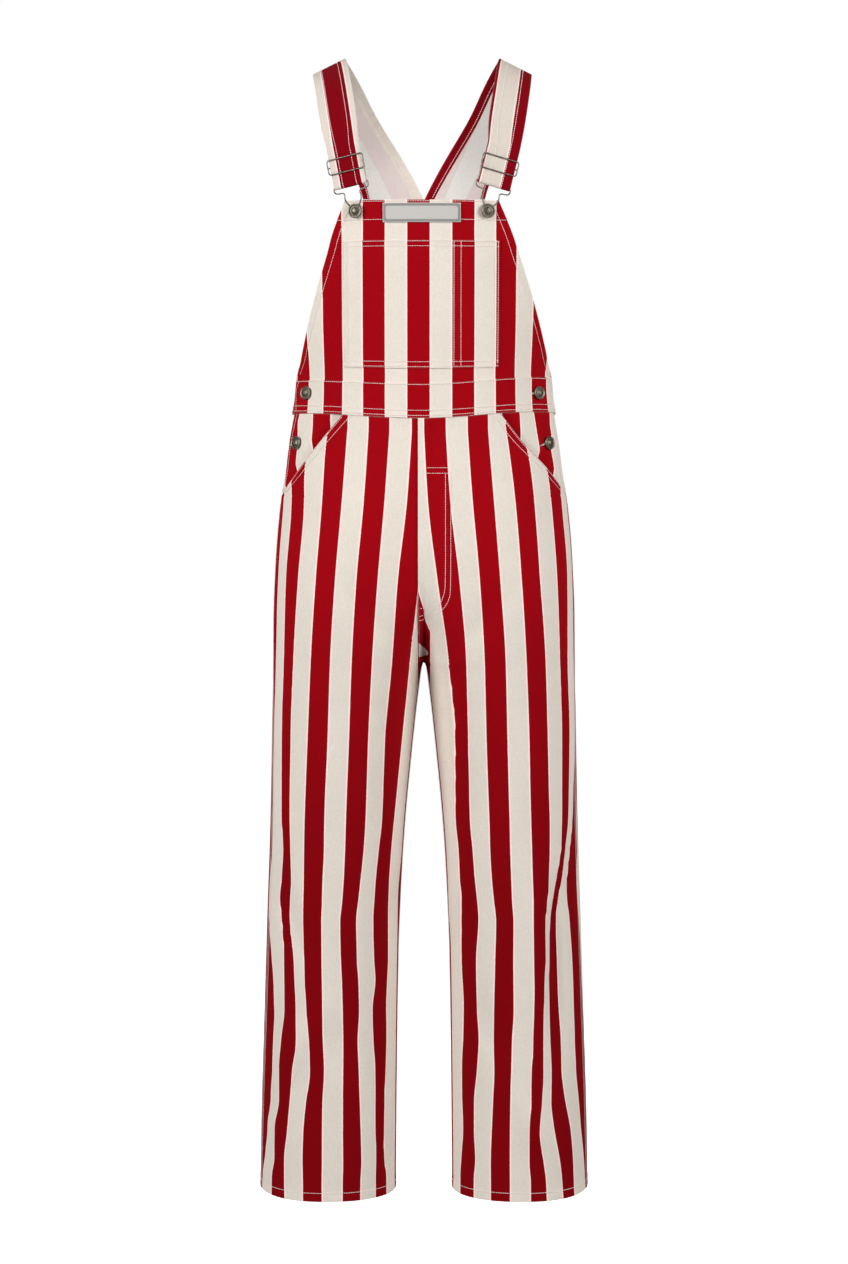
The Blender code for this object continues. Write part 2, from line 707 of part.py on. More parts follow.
def rounded_loop(corners, radius, steps=3):
    """A closed outline through corners in a plane, each corner rounded by an arc."""
    corners = [np.asarray(c, float) for c in corners]
    found = []
    for k, corner in enumerate(corners):
        before = unit(corners[k - 1] - corner)
        after = unit(corners[(k + 1) % len(corners)] - corner)
        start = corner + before * radius
        end = corner + after * radius
        for share in shares(0, 1, steps + 1):
            found.append((1 - share) ** 2 * start + 2 * share * (1 - share) * corner + share**2 * end)
    return found


def slide(side, name, finish):
    """The strap adjuster: a rounded wire frame before the strap, with one bar behind it."""
    frame = StrapFrame(side)
    ahead = FOLD + STRAP_CLOTH / 2 + SLIDE_WIRE / 2 + 2 * LAYER_GAP
    low = SLIDE_HEIGHT - SLIDE_HALF_DEPTH
    high = SLIDE_HEIGHT + SLIDE_HALF_DEPTH
    wide = SLIDE_HALF_WIDTH
    corners = [(-wide, low), (wide, low), (wide, high), (-wide, high)]
    ring = [frame.at(x, z, ahead) for x, z in rounded_loop(corners, SLIDE_CORNER)]
    bend = [(-wide, ahead), (-wide, 0.0018), (-wide + 0.0014, BAR_BACK), (0.0, BAR_BACK)]
    bend += [(-x, z) for x, z in reversed(bend[:-1])]
    bar = [frame.at(x, SLIDE_HEIGHT, z) for x, z in bend]
    thing = wire(name, ring, SLIDE_WIRE, finish)
    bar_wire = SLIDE_WIRE * 0.96
    guide = wire(name + "_bar_guide", bar, bar_wire, finish, closed=False)
    guide.hide_render = True
    guide.display_type = "WIRE"
    join = thing.modifiers.new("bar", "BOOLEAN")
    join.operation = "UNION"
    join.solver = "EXACT"
    join.object = guide
    return thing


# One half of the hook's outline below its bar, outward and up, from the end of the bar
HOOK_HALF = [
    (0.0212, 0.0000),
    (0.0222, -0.0024),
    (0.0216, -0.0055),
    (0.0190, -0.0076),
    (0.0118, -0.0086),
    (0.0100, -0.0108),
    (0.0104, -0.0150),
    (0.0099, -0.0190),
    (0.0074, -0.0235),
    (0.0046, -0.0272),
    (0.0038, -0.0302),
    (0.0038, -0.0334),
    (0.0024, -0.0359),
    (0.0000, -0.0367),
]


def hook(side, name, finish):
    """The wire hook: its bar lies in the strap's fold and its keyhole round the button."""
    frame = StrapFrame(side)
    other_half = [(-x, z) for x, z in reversed(HOOK_HALF[:-1])]
    outline = HOOK_HALF + other_half + [(-0.012, 0.0), (0.0, 0.0), (0.012, 0.0)]
    return wire(name, [frame.at(x, z, 0.0) for x, z in outline], HOOK_WIRE, finish)


# A domed tack button, as shares of its radius: out from the middle, and ahead of the seat
BUTTON_PROFILE = [
    (0.00, 0.98),
    (0.45, 0.95),
    (0.72, 0.84),
    (0.90, 0.78),
    (1.00, 0.68),
    (0.98, 0.58),
    (0.85, 0.52),
    (0.30, 0.50),
    (0.28, 0.00),
    (0.00, 0.00),
]


def button(name, seat, outward, diameter, finish, stand, segments=16):
    """A button whose shank stands on the cloth, stand high under its head."""
    radius = diameter / 2
    outward = unit(outward)
    right = unit(np.cross((0, 0, 1), outward))
    up = np.cross(outward, right)
    low = BUTTON_PROFILE[7][1]
    vertices = []
    for reach, ahead in BUTTON_PROFILE:
        level = stand * ahead / low if ahead <= low else stand + (ahead - low) * radius
        for k in range(segments if reach else 1):
            angle = 2 * pi * k / segments
            spoke = right * cos(angle) + up * sin(angle)
            vertices.append(seat + outward * level + spoke * reach * radius)
    faces = []
    for k in range(segments):
        n = (k + 1) % segments
        faces.append((0, 1 + k, 1 + n))
        for ring in range(len(BUTTON_PROFILE) - 3):
            a = 1 + ring * segments
            b = a + segments
            faces.append((a + k, b + k, b + n, a + n))
        last = 1 + (len(BUTTON_PROFILE) - 3) * segments
        faces.append((last + k, last + segments, last + n))
    return add_object(name, vertices, faces, finish)


def bib_button(side, name, finish):
    frame = StrapFrame(side)
    seat = frame.mirror(frame.button_seat + frame.forward * LAYER_GAP)
    stand = HOOK_WIRE + 3 * LAYER_GAP
    return button(name, seat, frame.mirror(frame.forward), BIB_BUTTON, finish, stand)


def side_button(side, name, reach, height, lift, finish):
    turn = front_turn(reach, height)
    seat = place(side, turn, height, lift + LAYER_GAP)
    outward = place(side, turn, height, lift + 0.01) - seat
    return button(name, seat, outward, SIDE_BUTTON, finish, SIDE_BUTTON_SHANK)


def main():
    clear_scene()
    twill = material("striped_twill", RED, 0.85)
    label = material("label_cloth", GREY_LABEL, 0.8)
    steel = material("brushed_steel", STEEL, 0.35, 1.0)
    bib(twill)
    bib_pocket(twill)
    waistband(twill)
    name_patch(label)
    back_panel(twill)
    for side, word in ((-1, "left"), (+1, "right")):
        front_leg(side, "front_leg_" + word, twill)
        back_leg(side, "back_leg_" + word, twill)
        hip_facing(side, "hip_facing_" + word, twill)
        side_placket(side, "side_placket_" + word, twill)
        strap(side, "strap_" + word, twill)
        slide(side, "slide_" + word, steel)
        hook(side, "hook_" + word, steel)
        bib_button(side, "bib_button_" + word, steel)
        upper = "side_button_upper_" + word
        side_button(side, upper, UPPER_BUTTON_REACH, UPPER_BUTTON_HEIGHT, OVER, steel)
        lower = "side_button_lower_" + word
        side_button(side, lower, LOWER_BUTTON_REACH, LOWER_BUTTON_HEIGHT, -FACING_DEPTH, steel)


main()
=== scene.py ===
"""The dress of the striped dungarees: fine cloth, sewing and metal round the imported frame.

Metres, +Z up, the front faces -Y, "right" is the +X side. Sections follow the making:
legs, hips, bib, back, straps, metal, then the studio.
"""

from collections import namedtuple
from math import cos, pi, radians, sin

import bmesh
import bpy
import numpy as np
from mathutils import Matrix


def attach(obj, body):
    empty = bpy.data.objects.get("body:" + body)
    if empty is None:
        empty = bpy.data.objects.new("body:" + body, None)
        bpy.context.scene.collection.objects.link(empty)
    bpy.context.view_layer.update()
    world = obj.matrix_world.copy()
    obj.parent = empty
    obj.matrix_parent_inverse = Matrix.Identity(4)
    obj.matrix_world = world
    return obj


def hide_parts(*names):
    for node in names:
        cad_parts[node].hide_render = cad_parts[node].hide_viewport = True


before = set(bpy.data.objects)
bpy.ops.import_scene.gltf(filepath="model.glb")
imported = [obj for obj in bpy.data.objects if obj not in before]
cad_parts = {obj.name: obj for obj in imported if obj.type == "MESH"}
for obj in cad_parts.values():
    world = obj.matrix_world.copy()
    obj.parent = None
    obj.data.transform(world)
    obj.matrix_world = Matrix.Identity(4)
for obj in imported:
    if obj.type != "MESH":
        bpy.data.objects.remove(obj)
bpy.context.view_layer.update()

# ---------------------------------------------------------------------------------
# Front legs
# Each is one panel of cotton twill woven in even red and cream stripes. It is cut
# away at the slash pocket, its hem is turned up and sewn with one row of stitches,
# and at the fly the right one laps over the left.
# ---------------------------------------------------------------------------------

CLOTH = 0.0014
LAYER_GAP = 0.0003
SEAM_GAP = 0.0004
OVER = CLOTH + LAYER_GAP
WAIST = -0.4385
WAIST_DIP = 0.0062
DIP_REACH = 0.16
OPENING_FOOT = -0.5400
HEM = -1.4315
HEM_TURN = 0.012
OUTER_POWER = 2.25
ROUND_STEPS = 800
CROTCH_ZONE = (-0.8100, -0.6400)
SIDES = ((-1, "left"), (+1, "right"))

# The form the cloth lies on, a section for each height: the outline and the inner edge
# of a leg, the reach to front and back, how square the inner side is, how far the cloth
# bridges the dip between the legs, and how far forward the side seam is.
Level = namedtuple("Level", "height outer inner front back power bridge seam_forward")
FORM = [
    Level(-1.4330, 0.2116, 0.0365, 0.0740, 0.0780, 2.20, 0.00, 0.018),
    Level(-1.3410, 0.2099, 0.0357, 0.0740, 0.0780, 2.20, 0.00, 0.020),
    Level(-1.2150, 0.2056, 0.0343, 0.0750, 0.0800, 2.20, 0.00, 0.022),
    Level(-1.1200, 0.2022, 0.0328, 0.0770, 0.0820, 2.20, 0.00, 0.024),
    Level(-1.0600, 0.2002, 0.0305, 0.0800, 0.0840, 2.25, 0.00, 0.026),
    Level(-0.9970, 0.1977, 0.0272, 0.0840, 0.0880, 2.30, 0.00, 0.028),
    Level(-0.9350, 0.1957, 0.0226, 0.0890, 0.0930, 2.35, 0.00, 0.029),
    Level(-0.8730, 0.1943, 0.0166, 0.0950, 0.0990, 2.40, 0.00, 0.028),
    Level(-0.8110, 0.1931, 0.0100, 0.1010, 0.1060, 2.50, 0.00, 0.027),
    Level(-0.7800, 0.1922, 0.0062, 0.1050, 0.1100, 2.60, 0.00, 0.026),
    Level(-0.7620, 0.1920, 0.0038, 0.1070, 0.1130, 2.70, 0.00, 0.025),
    Level(-0.7475, 0.1918, 0.0000, 0.1090, 0.1160, 2.80, 0.00, 0.024),
    Level(-0.7350, 0.1915, -0.0016, 0.1110, 0.1190, 2.90, 0.02, 0.023),
    Level(-0.7150, 0.1912, -0.0055, 0.1140, 0.1240, 3.00, 0.12, 0.021),
    Level(-0.6800, 0.1905, -0.0170, 0.1180, 0.1310, 3.00, 0.42, 0.018),
    Level(-0.6400, 0.1886, -0.0380, 0.1210, 0.1350, 3.00, 0.72, 0.014),
    Level(-0.6000, 0.1862, -0.0700, 0.1230, 0.1340, 2.80, 0.90, 0.011),
    Level(-0.5560, 0.1818, -0.1100, 0.1230, 0.1280, 2.60, 1.00, 0.010),
    Level(-0.5160, 0.1772, -0.1400, 0.1210, 0.1180, 2.40, 1.00, 0.010),
    Level(-0.4550, 0.1685, -0.1655, 0.1175, 0.1050, 2.30, 1.00, 0.012),
    Level(-0.4000, 0.1605, -0.1605, 0.1170, 0.1000, 2.25, 1.00, 0.012),
    Level(-0.3200, 0.1715, -0.1715, 0.1200, 0.1050, 2.25, 1.00, 0.012),
    Level(-0.2400, 0.1755, -0.1755, 0.1240, 0.1110, 2.25, 1.00, 0.012),
    Level(-0.1500, 0.1720, -0.1720, 0.1260, 0.1100, 2.25, 1.00, 0.012),
]

# Folds of the cloth: each runs along the leg at a distance from the side seam, + on the
# front and - on the back, leans by "lean" over its half length, and stands out or in.
Fold = namedtuple("Fold", "side from_seam height half_length half_width lean depth")
FOLDS = [
    Fold(+1, 0.0525, -1.130, 0.160, 0.011, +0.003, -0.0080),
    Fold(+1, 0.0850, -1.120, 0.150, 0.014, -0.002, +0.0055),
    Fold(+1, 0.1900, -1.050, 0.060, 0.022, -0.015, +0.0035),
    Fold(+1, 0.1500, -1.210, 0.070, 0.020, +0.020, -0.0030),
    Fold(+1, 0.1000, -1.330, 0.060, 0.018, +0.010, +0.0035),
    Fold(+1, -0.0700, -0.960, 0.110, 0.020, -0.030, -0.0045),
    Fold(+1, -0.1600, -1.180, 0.120, 0.022, +0.025, +0.0040),
    Fold(-1, 0.0550, -1.080, 0.070, 0.017, -0.025, -0.0045),
    Fold(-1, 0.0700, -1.230, 0.070, 0.020, +0.025, +0.0045),
    Fold(-1, 0.2000, -1.060, 0.070, 0.020, +0.015, -0.0035),
    Fold(-1, 0.1250, -1.240, 0.060, 0.020, -0.020, -0.0035),
    Fold(-1, 0.1900, -1.330, 0.060, 0.018, -0.010, +0.0030),
    Fold(-1, -0.0750, -0.980, 0.120, 0.020, +0.030, -0.0045),
    Fold(-1, -0.1500, -1.200, 0.110, 0.022, -0.025, +0.0040),
    Fold(+1, 0.1700, -0.690, 0.060, 0.020, -0.035, -0.0030),
    Fold(-1, 0.1700, -0.680, 0.060, 0.020, -0.035, -0.0030),
    Fold(+1, -0.1700, -0.790, 0.050, 0.024, +0.040, -0.0040),
    Fold(-1, -0.1650, -0.785, 0.050, 0.024, +0.040, -0.0040),
]


def through(table, column, height):
    """A smooth value between a table's rows, without overshoot."""
    known = np.array([row[0] for row in table])
    values = np.array([getattr(row, column) for row in table])
    step = np.diff(known)
    slope = np.diff(values) / step
    tangent = np.zeros(len(known))
    for k in range(1, len(known) - 1):
        if slope[k - 1] * slope[k] > 0:
            tangent[k] = 2 * slope[k - 1] * slope[k] / (slope[k - 1] + slope[k])
    tangent[0] = slope[0]
    tangent[-1] = slope[-1]
    height = float(np.clip(height, min(known[0], known[-1]), max(known[0], known[-1])))
    k = int(np.clip(np.searchsorted(known, height) - 1, 0, len(step) - 1))
    t = (height - known[k]) / step[k]
    share = t * t * (3 - 2 * t)
    return (
        values[k] * (1 - share)
        + values[k + 1] * share
        + tangent[k] * step[k] * t * (1 - t) ** 2
        - tangent[k + 1] * step[k] * t * t * (1 - t)
    )


SECTIONS = {}


def section(height):
    """The section at a height: its points on the +X side, the way round to each, the seam."""
    key = round(height, 6)
    if key not in SECTIONS:
        outer, inner, front, back, power, bridge, forward = (
            through(FORM, name, height) for name in Level._fields[1:]
        )
        middle = (outer + inner) / 2
        half = (outer - inner) / 2
        reach = min(1.0, middle / half)
        start = np.arccos(-(reach ** (power / 2)))
        angle = np.linspace(start, -start, ROUND_STEPS + 1)
        c = np.cos(angle)
        s = np.sin(angle)
        p = np.where(c < 0, power, OUTER_POWER)
        x = middle + half * np.sign(c) * np.abs(c) ** (2 / p)
        rise = np.abs(s) ** (2 / p)
        rise = np.where(c < 0, rise + (1 - rise) * bridge, rise)
        y = -np.where(s > 0, front, back) * np.sign(s) * rise
        way = np.concatenate([[0], np.cumsum(np.hypot(np.diff(x), np.diff(y)))])
        SECTIONS[key] = (x, y, way, way[ROUND_STEPS // 2] - forward)
    return SECTIONS[key]


def seam_way(height):
    return section(height)[3]


def full_way(height):
    return section(height)[2][-1]


def front_way(reach, height):
    """The way round on the front to where the form is this far from the middle."""
    x, _, way, _ = section(height)
    outermost = int(np.argmax(x))
    return float(np.interp(reach, x[: outermost + 1], way[: outermost + 1]))


def way_at(table, column, height):
    """The way round on the front to the distance from the middle that a table gives."""
    return front_way(through(table, column, height), height)


def ease(value, low, high):
    """0 at low, 1 at high, smooth between."""
    t = np.clip((value - low) / (high - low), 0, 1)
    return t * t * (3 - 2 * t)


def dip(ways, height):
    """How far the front waist seam hangs lower at the centre than at the sides."""
    near = np.cos(pi / 2 * np.clip(ways / DIP_REACH, -1, 1)) ** 2
    near = np.where(np.abs(ways) < DIP_REACH, near, 0)
    return WAIST_DIP * near * np.exp(-(((height - WAIST) / 0.07) ** 2))


# How much higher the front waist seam lies than a level one, by distance from the middle
SEAM_TILT = [(-0.17, 0.0012), (0.0, 0.0016), (0.045, 0.0025), (0.10, 0.0040), (0.16, 0.0028)]


def tilt(points, height):
    """How far the front waist seam is hitched up across the belly."""
    rise = np.interp(points[:, 0], *zip(*SEAM_TILT))
    return rise * ease(-points[:, 1], 0.0, 0.03) * np.exp(-(((height - WAIST) / 0.022) ** 2))


HEM_SWEEP = 0.0045


def sweep(ways, height):
    """How far the hem rises at the outside of the leg."""
    outside = section(height)[2][ROUND_STEPS // 2]
    near = np.exp(-(((ways - outside) / 0.055) ** 2))
    return HEM_SWEEP * near * (1 - ease(height, HEM, HEM + 0.09))


def fold_rise(side, ways, height):
    """How far the folds push the cloth out along a row."""
    from_seam = seam_way(height) - ways
    total = np.zeros(len(ways))
    for fold in FOLDS:
        along = (height - fold.height) / fold.half_length
        if fold.side == side and abs(along) < 1:
            across = (from_seam - fold.from_seam - fold.lean * along) / fold.half_width
            total += fold.depth * cos(pi / 2 * along) ** 2 * np.exp(-across * across)
    return total


# Where columns and rows crowd beside an edge, so that hems and their stitches show
EDGE_STOPS = (0.0, 0.0007, 0.0030, 0.0060, 0.0085, 0.0100, 0.0125)


def spread(first, last, count):
    """Columns from first to last, crowded at both edges."""
    stops = np.array(EDGE_STOPS) * min(1.0, abs(last - first) / 0.035)
    inside = np.linspace(stops[-1], abs(last - first) - stops[-1], count - 2 * len(stops) + 2)
    found = np.concatenate([stops[:-1], inside, abs(last - first) - stops[:-1][::-1]])
    return first + np.sign(last - first) * found


# How far a thread's middle lies above the cloth
THREAD_LIFT = 0.0004


class Panel:
    """A grid of points on the form: rows by height, columns by the signed way round."""

    def __init__(self, side, heights, ways, folds=True):
        self.heights = np.asarray(heights, float)
        self.ways = np.asarray(ways, float)
        self.base = np.empty((*self.ways.shape, 3))
        self.lift = np.zeros(self.ways.shape)
        self.level = self.heights[:, None] + 0 * self.ways
        for r, height in enumerate(self.heights):
            x, y, way, _ = section(height)
            row = self.ways[r]
            self.base[r, :, 0] = side * np.sign(row + 1e-12) * np.interp(np.abs(row), way, x)
            self.base[r, :, 1] = np.interp(np.abs(row), way, y)
            self.base[r, :, 2] = height - dip(row, height) + sweep(np.abs(row), height)
            self.base[r, :, 2] += tilt(self.base[r], height)
            if folds:
                self.lift[r] = fold_rise(side, row, height)
        self.measure(-side)

    def measure(self, turn):
        """The ways out of the cloth, and how far each point is from each edge."""
        across = np.gradient(self.base, axis=1)
        down = np.gradient(self.base, axis=0)
        self.normal = turn * np.cross(across, down)
        self.normal /= np.linalg.norm(self.normal, axis=2, keepdims=True)
        self.from_first = self.ways - self.ways[:, :1]
        self.from_last = self.ways[:, -1:] - self.ways
        self.from_top = self.heights[0] - self.level
        self.from_foot = self.level - self.heights[-1]
        sides = np.minimum(self.from_first, self.from_last)
        self.from_edge = np.minimum(sides, np.minimum(self.from_top, self.from_foot))

    def surface(self, deeper=0.0):
        return self.base + self.normal * (self.lift - deeper)[..., None]

    def on(self, spots):
        """A line for stitches: points just above the cloth at (way, height) spots, and normals."""
        points = self.surface(-THREAD_LIFT)
        found = []
        normals = []
        rows = len(self.heights)
        for way, height in spots:
            r = float(np.interp(-height, -self.heights, np.arange(rows)))
            low = min(int(r), rows - 2)
            t = r - low
            pair = []
            lean = []
            for row in (low, low + 1):
                c = float(np.interp(way, self.ways[row], np.arange(self.ways.shape[1])))
                col = min(int(c), self.ways.shape[1] - 2)
                s = c - col
                pair.append(points[row, col] * (1 - s) + points[row, col + 1] * s)
                lean.append(self.normal[row, col])
            found.append(pair[0] * (1 - t) + pair[1] * t)
            normals.append(lean[0] * (1 - t) + lean[1] * t)
        return np.array(found), np.array(normals)

    def down_edge(self, distance, top=0.0, foot=HEM, edge=-1):
        """A line for stitches this far in from the panel's first (0) or last (-1) edge."""
        inward = distance if edge == 0 else -distance
        rows = zip(self.ways, self.heights)
        return self.on([(row[edge] + inward, height) for row, height in rows if foot <= height <= top])

    def across_row(self, height):
        """A line for stitches at a height, from edge to edge."""
        row = self.ways[int(np.argmin(np.abs(self.heights - height)))]
        return self.on([(way, height) for way in row])


def facing_out(mesh):
    """Turn every face of a closed mesh outward."""
    body = bmesh.new()
    body.from_mesh(mesh)
    bmesh.ops.recalc_face_normals(body, faces=body.faces)
    body.to_mesh(mesh)
    body.free()


def placed(name, data):
    thing = bpy.data.objects.new(name, data)
    bpy.context.scene.collection.objects.link(thing)
    return thing


def closed_wall(name, outer, inner, cut, edge, finishes, hem_cut=None):
    """A closed wall of cloth between two grids, with the cut's own measure as its UV map.

    Where hem_cut is a number the inside shows a turned hem's face, at that place of the cut.
    """
    rows, columns = outer.shape[:2]
    under = rows * columns
    index = np.arange(under).reshape(rows, columns)
    a, b = index[:-1, :-1].ravel(), index[:-1, 1:].ravel()
    d, e = index[1:, :-1].ravel(), index[1:, 1:].ravel()
    outside = np.stack([a, d, e, b], 1)
    inside = np.stack([a, b, e, d], 1) + under
    rim = np.concatenate([index[0, :], index[1:, -1], index[-1, -2::-1], index[-2:0:-1, 0]])
    after = np.roll(rim, -1)
    edges = np.stack([rim, after, after + under, rim + under], 1)
    faces = np.concatenate([outside, inside, edges])
    mesh = bpy.data.meshes.new(name)
    vertices = np.concatenate([outer.reshape(-1, 3), inner.reshape(-1, 3)])
    mesh.from_pydata(vertices.tolist(), [], faces.tolist())
    for finish in finishes:
        mesh.materials.append(finish)
    slots = np.zeros(len(faces), int)
    hems = np.full(len(a), np.nan) if hem_cut is None else hem_cut[:-1, :-1].ravel()
    insides = slice(len(a), 2 * len(a))
    slots[insides] = np.isnan(hems)
    mesh.polygons.foreach_set("material_index", slots)
    for layer_name, grid in (("cut", cut), ("edge", edge)):
        layer = mesh.uv_layers.new(name=layer_name)
        corners = np.concatenate([grid.reshape(-1, 2)] * 2)[faces]
        if layer_name == "cut":
            across = corners[insides, :, 0]
            corners[insides, :, 0] = np.where(np.isnan(hems)[:, None], across, hems[:, None])
        layer.data.foreach_set("uv", corners.astype(np.float32).ravel())
    mesh.uv_layers["cut"].active_render = True
    mesh.validate()
    facing_out(mesh)
    mesh.shade_smooth()
    mesh.set_sharp_from_angle(angle=radians(50))
    return placed(name, mesh)


def declare(thing, nodes):
    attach(thing, "root")
    if nodes:
        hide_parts(*nodes)


def panel_wall(name, panel, cut_across, finishes, thickness=CLOTH):
    """The cloth piece of a panel. cut_across is its place across the stripes."""
    cut = np.stack([cut_across, panel.level], 2)
    edge = np.stack([panel.from_edge, panel.level + panel.ways], 2)
    thick = np.broadcast_to(thickness, panel.ways.shape)
    return closed_wall(name, panel.surface(), panel.surface(thick), cut, edge, finishes)


# The stitches: a cream cotton thread, 8 or 9 stitches to the inch
Stitch = namedtuple("Stitch", "half high length pitch")
SEAM_STITCH = Stitch(0.00042, 0.00044, 0.0027, 0.0030)


def resample(points, normals, pitch):
    steps = np.linalg.norm(np.diff(points, axis=0), axis=1)
    along = np.concatenate([[0], np.cumsum(steps)])
    marks = np.arange(0, along[-1], pitch)
    place = np.stack([np.interp(marks, along, points[:, k]) for k in range(3)], 1)
    lean = np.stack([np.interp(marks, along, normals[:, k]) for k in range(3)], 1)
    return place, lean


def sewn(name, lines, stitch=SEAM_STITCH):
    """One mesh of stitches along lines, each given as its points and the cloth's normals."""
    starts = []
    ends = []
    leans = []
    for points, normals in lines:
        ahead, lean = resample(points, normals, stitch.pitch)
        if len(ahead) > 1:
            way = np.diff(ahead, axis=0)
            starts.append(ahead[:-1])
            ends.append(ahead[:-1] + way * (stitch.length / stitch.pitch))
            leans.append(lean[:-1])
    start, end, lean = (np.concatenate(part) for part in (starts, ends, leans))
    way = end - start
    lean = lean / np.linalg.norm(lean, axis=1, keepdims=True)
    side = np.cross(way, lean)
    side /= np.linalg.norm(side, axis=1, keepdims=True)
    rings = [(0.0, 0.0), (0.18, 0.8), (0.5, 1.0), (0.82, 0.8), (1.0, 0.0)]
    corners = [(1, 0), (0, 1), (-1, 0), (0, -0.5)]
    spots = []
    for share, size in rings:
        for out, up in corners if size else [(0, -0.3)]:
            rise = stitch.high * (0.25 + 0.75 * size) * up
            spots.append(start + way * share + side * (stitch.half * size * out) + lean * rise)
    count = len(spots)
    vertices = np.stack(spots, 1).reshape(-1, 3)
    faces = []
    for k in range(4):
        n = (k + 1) % 4
        faces.append((0, 1 + k, 1 + n, 1 + n))
        for ring in range(2):
            a = 1 + 4 * ring
            faces.append((a + k, a + 4 + k, a + 4 + n, a + n))
        faces.append((9 + k, count - 1, 9 + n, 9 + n))
    pattern = [face[:3] if face[2] == face[3] else face for face in faces]
    made = []
    for k in range(len(start)):
        made += [tuple(k * count + v for v in face) for face in pattern]
    mesh = bpy.data.meshes.new(name)
    mesh.from_pydata(vertices.tolist(), [], made)
    mesh.materials.append(THREAD)
    mesh.shade_smooth()
    facing_out(mesh)
    thing = placed(name, mesh)
    declare(thing, ())
    return thing


# The twill: stripes of one width each, woven in a diagonal rib, with a soft yarn edge
STRIPE = 0.02725
RED = (0.350, 0.0012, 0.0055)
# Painted shade: the straps' red and cream (below) are darker copies of the face's, standing in for the
# shade on the straps
SHADED_STRAP_RED = (0.225, 0.0010, 0.0060)
CREAM = (0.800, 0.730, 0.645)
SHADED_STRAP_CREAM = (0.730, 0.655, 0.575)
EDGE_PINK = (1.00, 0.77, 0.72)
REVERSE_RED = (0.70, 0.605, 0.575)
REVERSE_CREAM = (0.74, 0.715, 0.67)


def new_group(name, inputs, outputs):
    group = bpy.data.node_groups.new(name, "ShaderNodeTree")
    for label, kind in inputs:
        group.interface.new_socket(label, in_out="INPUT", socket_type=kind)
    for label, kind in outputs:
        group.interface.new_socket(label, in_out="OUTPUT", socket_type=kind)
    source = group.nodes.new("NodeGroupInput").outputs
    group.nodes.new("NodeGroupOutput").name = "out"
    return group, source


def give(group, results):
    for label, socket in results:
        group.links.new(socket, group.nodes["out"].inputs[label])


def node(tree, kind, links=(), **settings):
    """A node with its settings and, as (input, value or socket) pairs, its inputs."""
    made = tree.nodes.new(kind)
    for key, value in settings.items():
        setattr(made, key, value)
    for key, value in links:
        if isinstance(value, bpy.types.NodeSocket):
            tree.links.new(value, made.inputs[key])
        else:
            made.inputs[key].default_value = value
    return made


def maths(tree, operation, first, second=0.0, third=0.0):
    pairs = [(0, first), (1, second), (2, third)]
    return node(tree, "ShaderNodeMath", pairs, operation=operation).outputs[0]


def mixed(tree, share, first, second, blend="MIX"):
    pairs = [(0, share), (6, first), (7, second)]
    return node(tree, "ShaderNodeMix", pairs, data_type="RGBA", blend_type=blend).outputs[2]


def ranged(tree, value, low, high, start=1.0, end=0.0, between="SMOOTHSTEP"):
    """From start to end as the value goes from low to high."""
    pairs = [(0, value), (1, low), (2, high), (3, start), (4, end)]
    return node(tree, "ShaderNodeMapRange", pairs, interpolation_type=between).outputs[0]


def noise(tree, place, scale, detail):
    pairs = [("Vector", place), ("Scale", scale), ("Detail", detail)]
    return node(tree, "ShaderNodeTexNoise", pairs).outputs[0]


def uneven(tree, value, share, base):
    """base with a share of a noise value, which lies about a half."""
    return maths(tree, "MULTIPLY_ADD", maths(tree, "SUBTRACT", value, 0.5), share, base)


def parts_of(tree, vector):
    return node(tree, "ShaderNodeSeparateXYZ", [(0, vector)]).outputs


def uv_map(tree, name):
    return node(tree, "ShaderNodeUVMap", uv_map=name).outputs[0]


def raise_surface(tree, shader, height, strength, distance):
    pairs = [("Height", height), ("Strength", strength), ("Distance", distance)]
    tree.links.new(node(tree, "ShaderNodeBump", pairs).outputs[0], shader.inputs["Normal"])


def stripes_group():
    """Even stripes along the cloth: colour from the distance across it, in metres."""
    inputs = [("Cut", "NodeSocketVector"), ("First", "NodeSocketColor"), ("Second", "NodeSocketColor")]
    inputs += [("Edge", "NodeSocketColor"), ("Half", "NodeSocketFloat")]
    outputs = [("Color", "NodeSocketColor"), ("First mask", "NodeSocketFloat"), ("Line", "NodeSocketFloat")]
    group, source = new_group("even_stripes", inputs, outputs)
    waver = maths(group, "MULTIPLY_ADD", noise(group, source["Cut"], 900.0, 1.0), 0.0005, -0.00025)
    across = maths(group, "ADD", parts_of(group, source["Cut"])[0], waver)
    distance = maths(group, "PINGPONG", across, source["Half"])
    past = maths(group, "SUBTRACT", distance, maths(group, "MULTIPLY", source["Half"], 0.5))
    mask = ranged(group, past, -0.00030, 0.00030)
    beside = maths(group, "ABSOLUTE", maths(group, "SUBTRACT", past, 0.00085))
    line = ranged(group, beside, 0.00050, 0.00100)
    colour = mixed(group, mask, source["Second"], source["First"])
    edged = mixed(group, maths(group, "MULTIPLY", line, 0.95), colour, source["Edge"])
    give(group, [("Color", edged), ("First mask", mask), ("Line", line)])
    return group


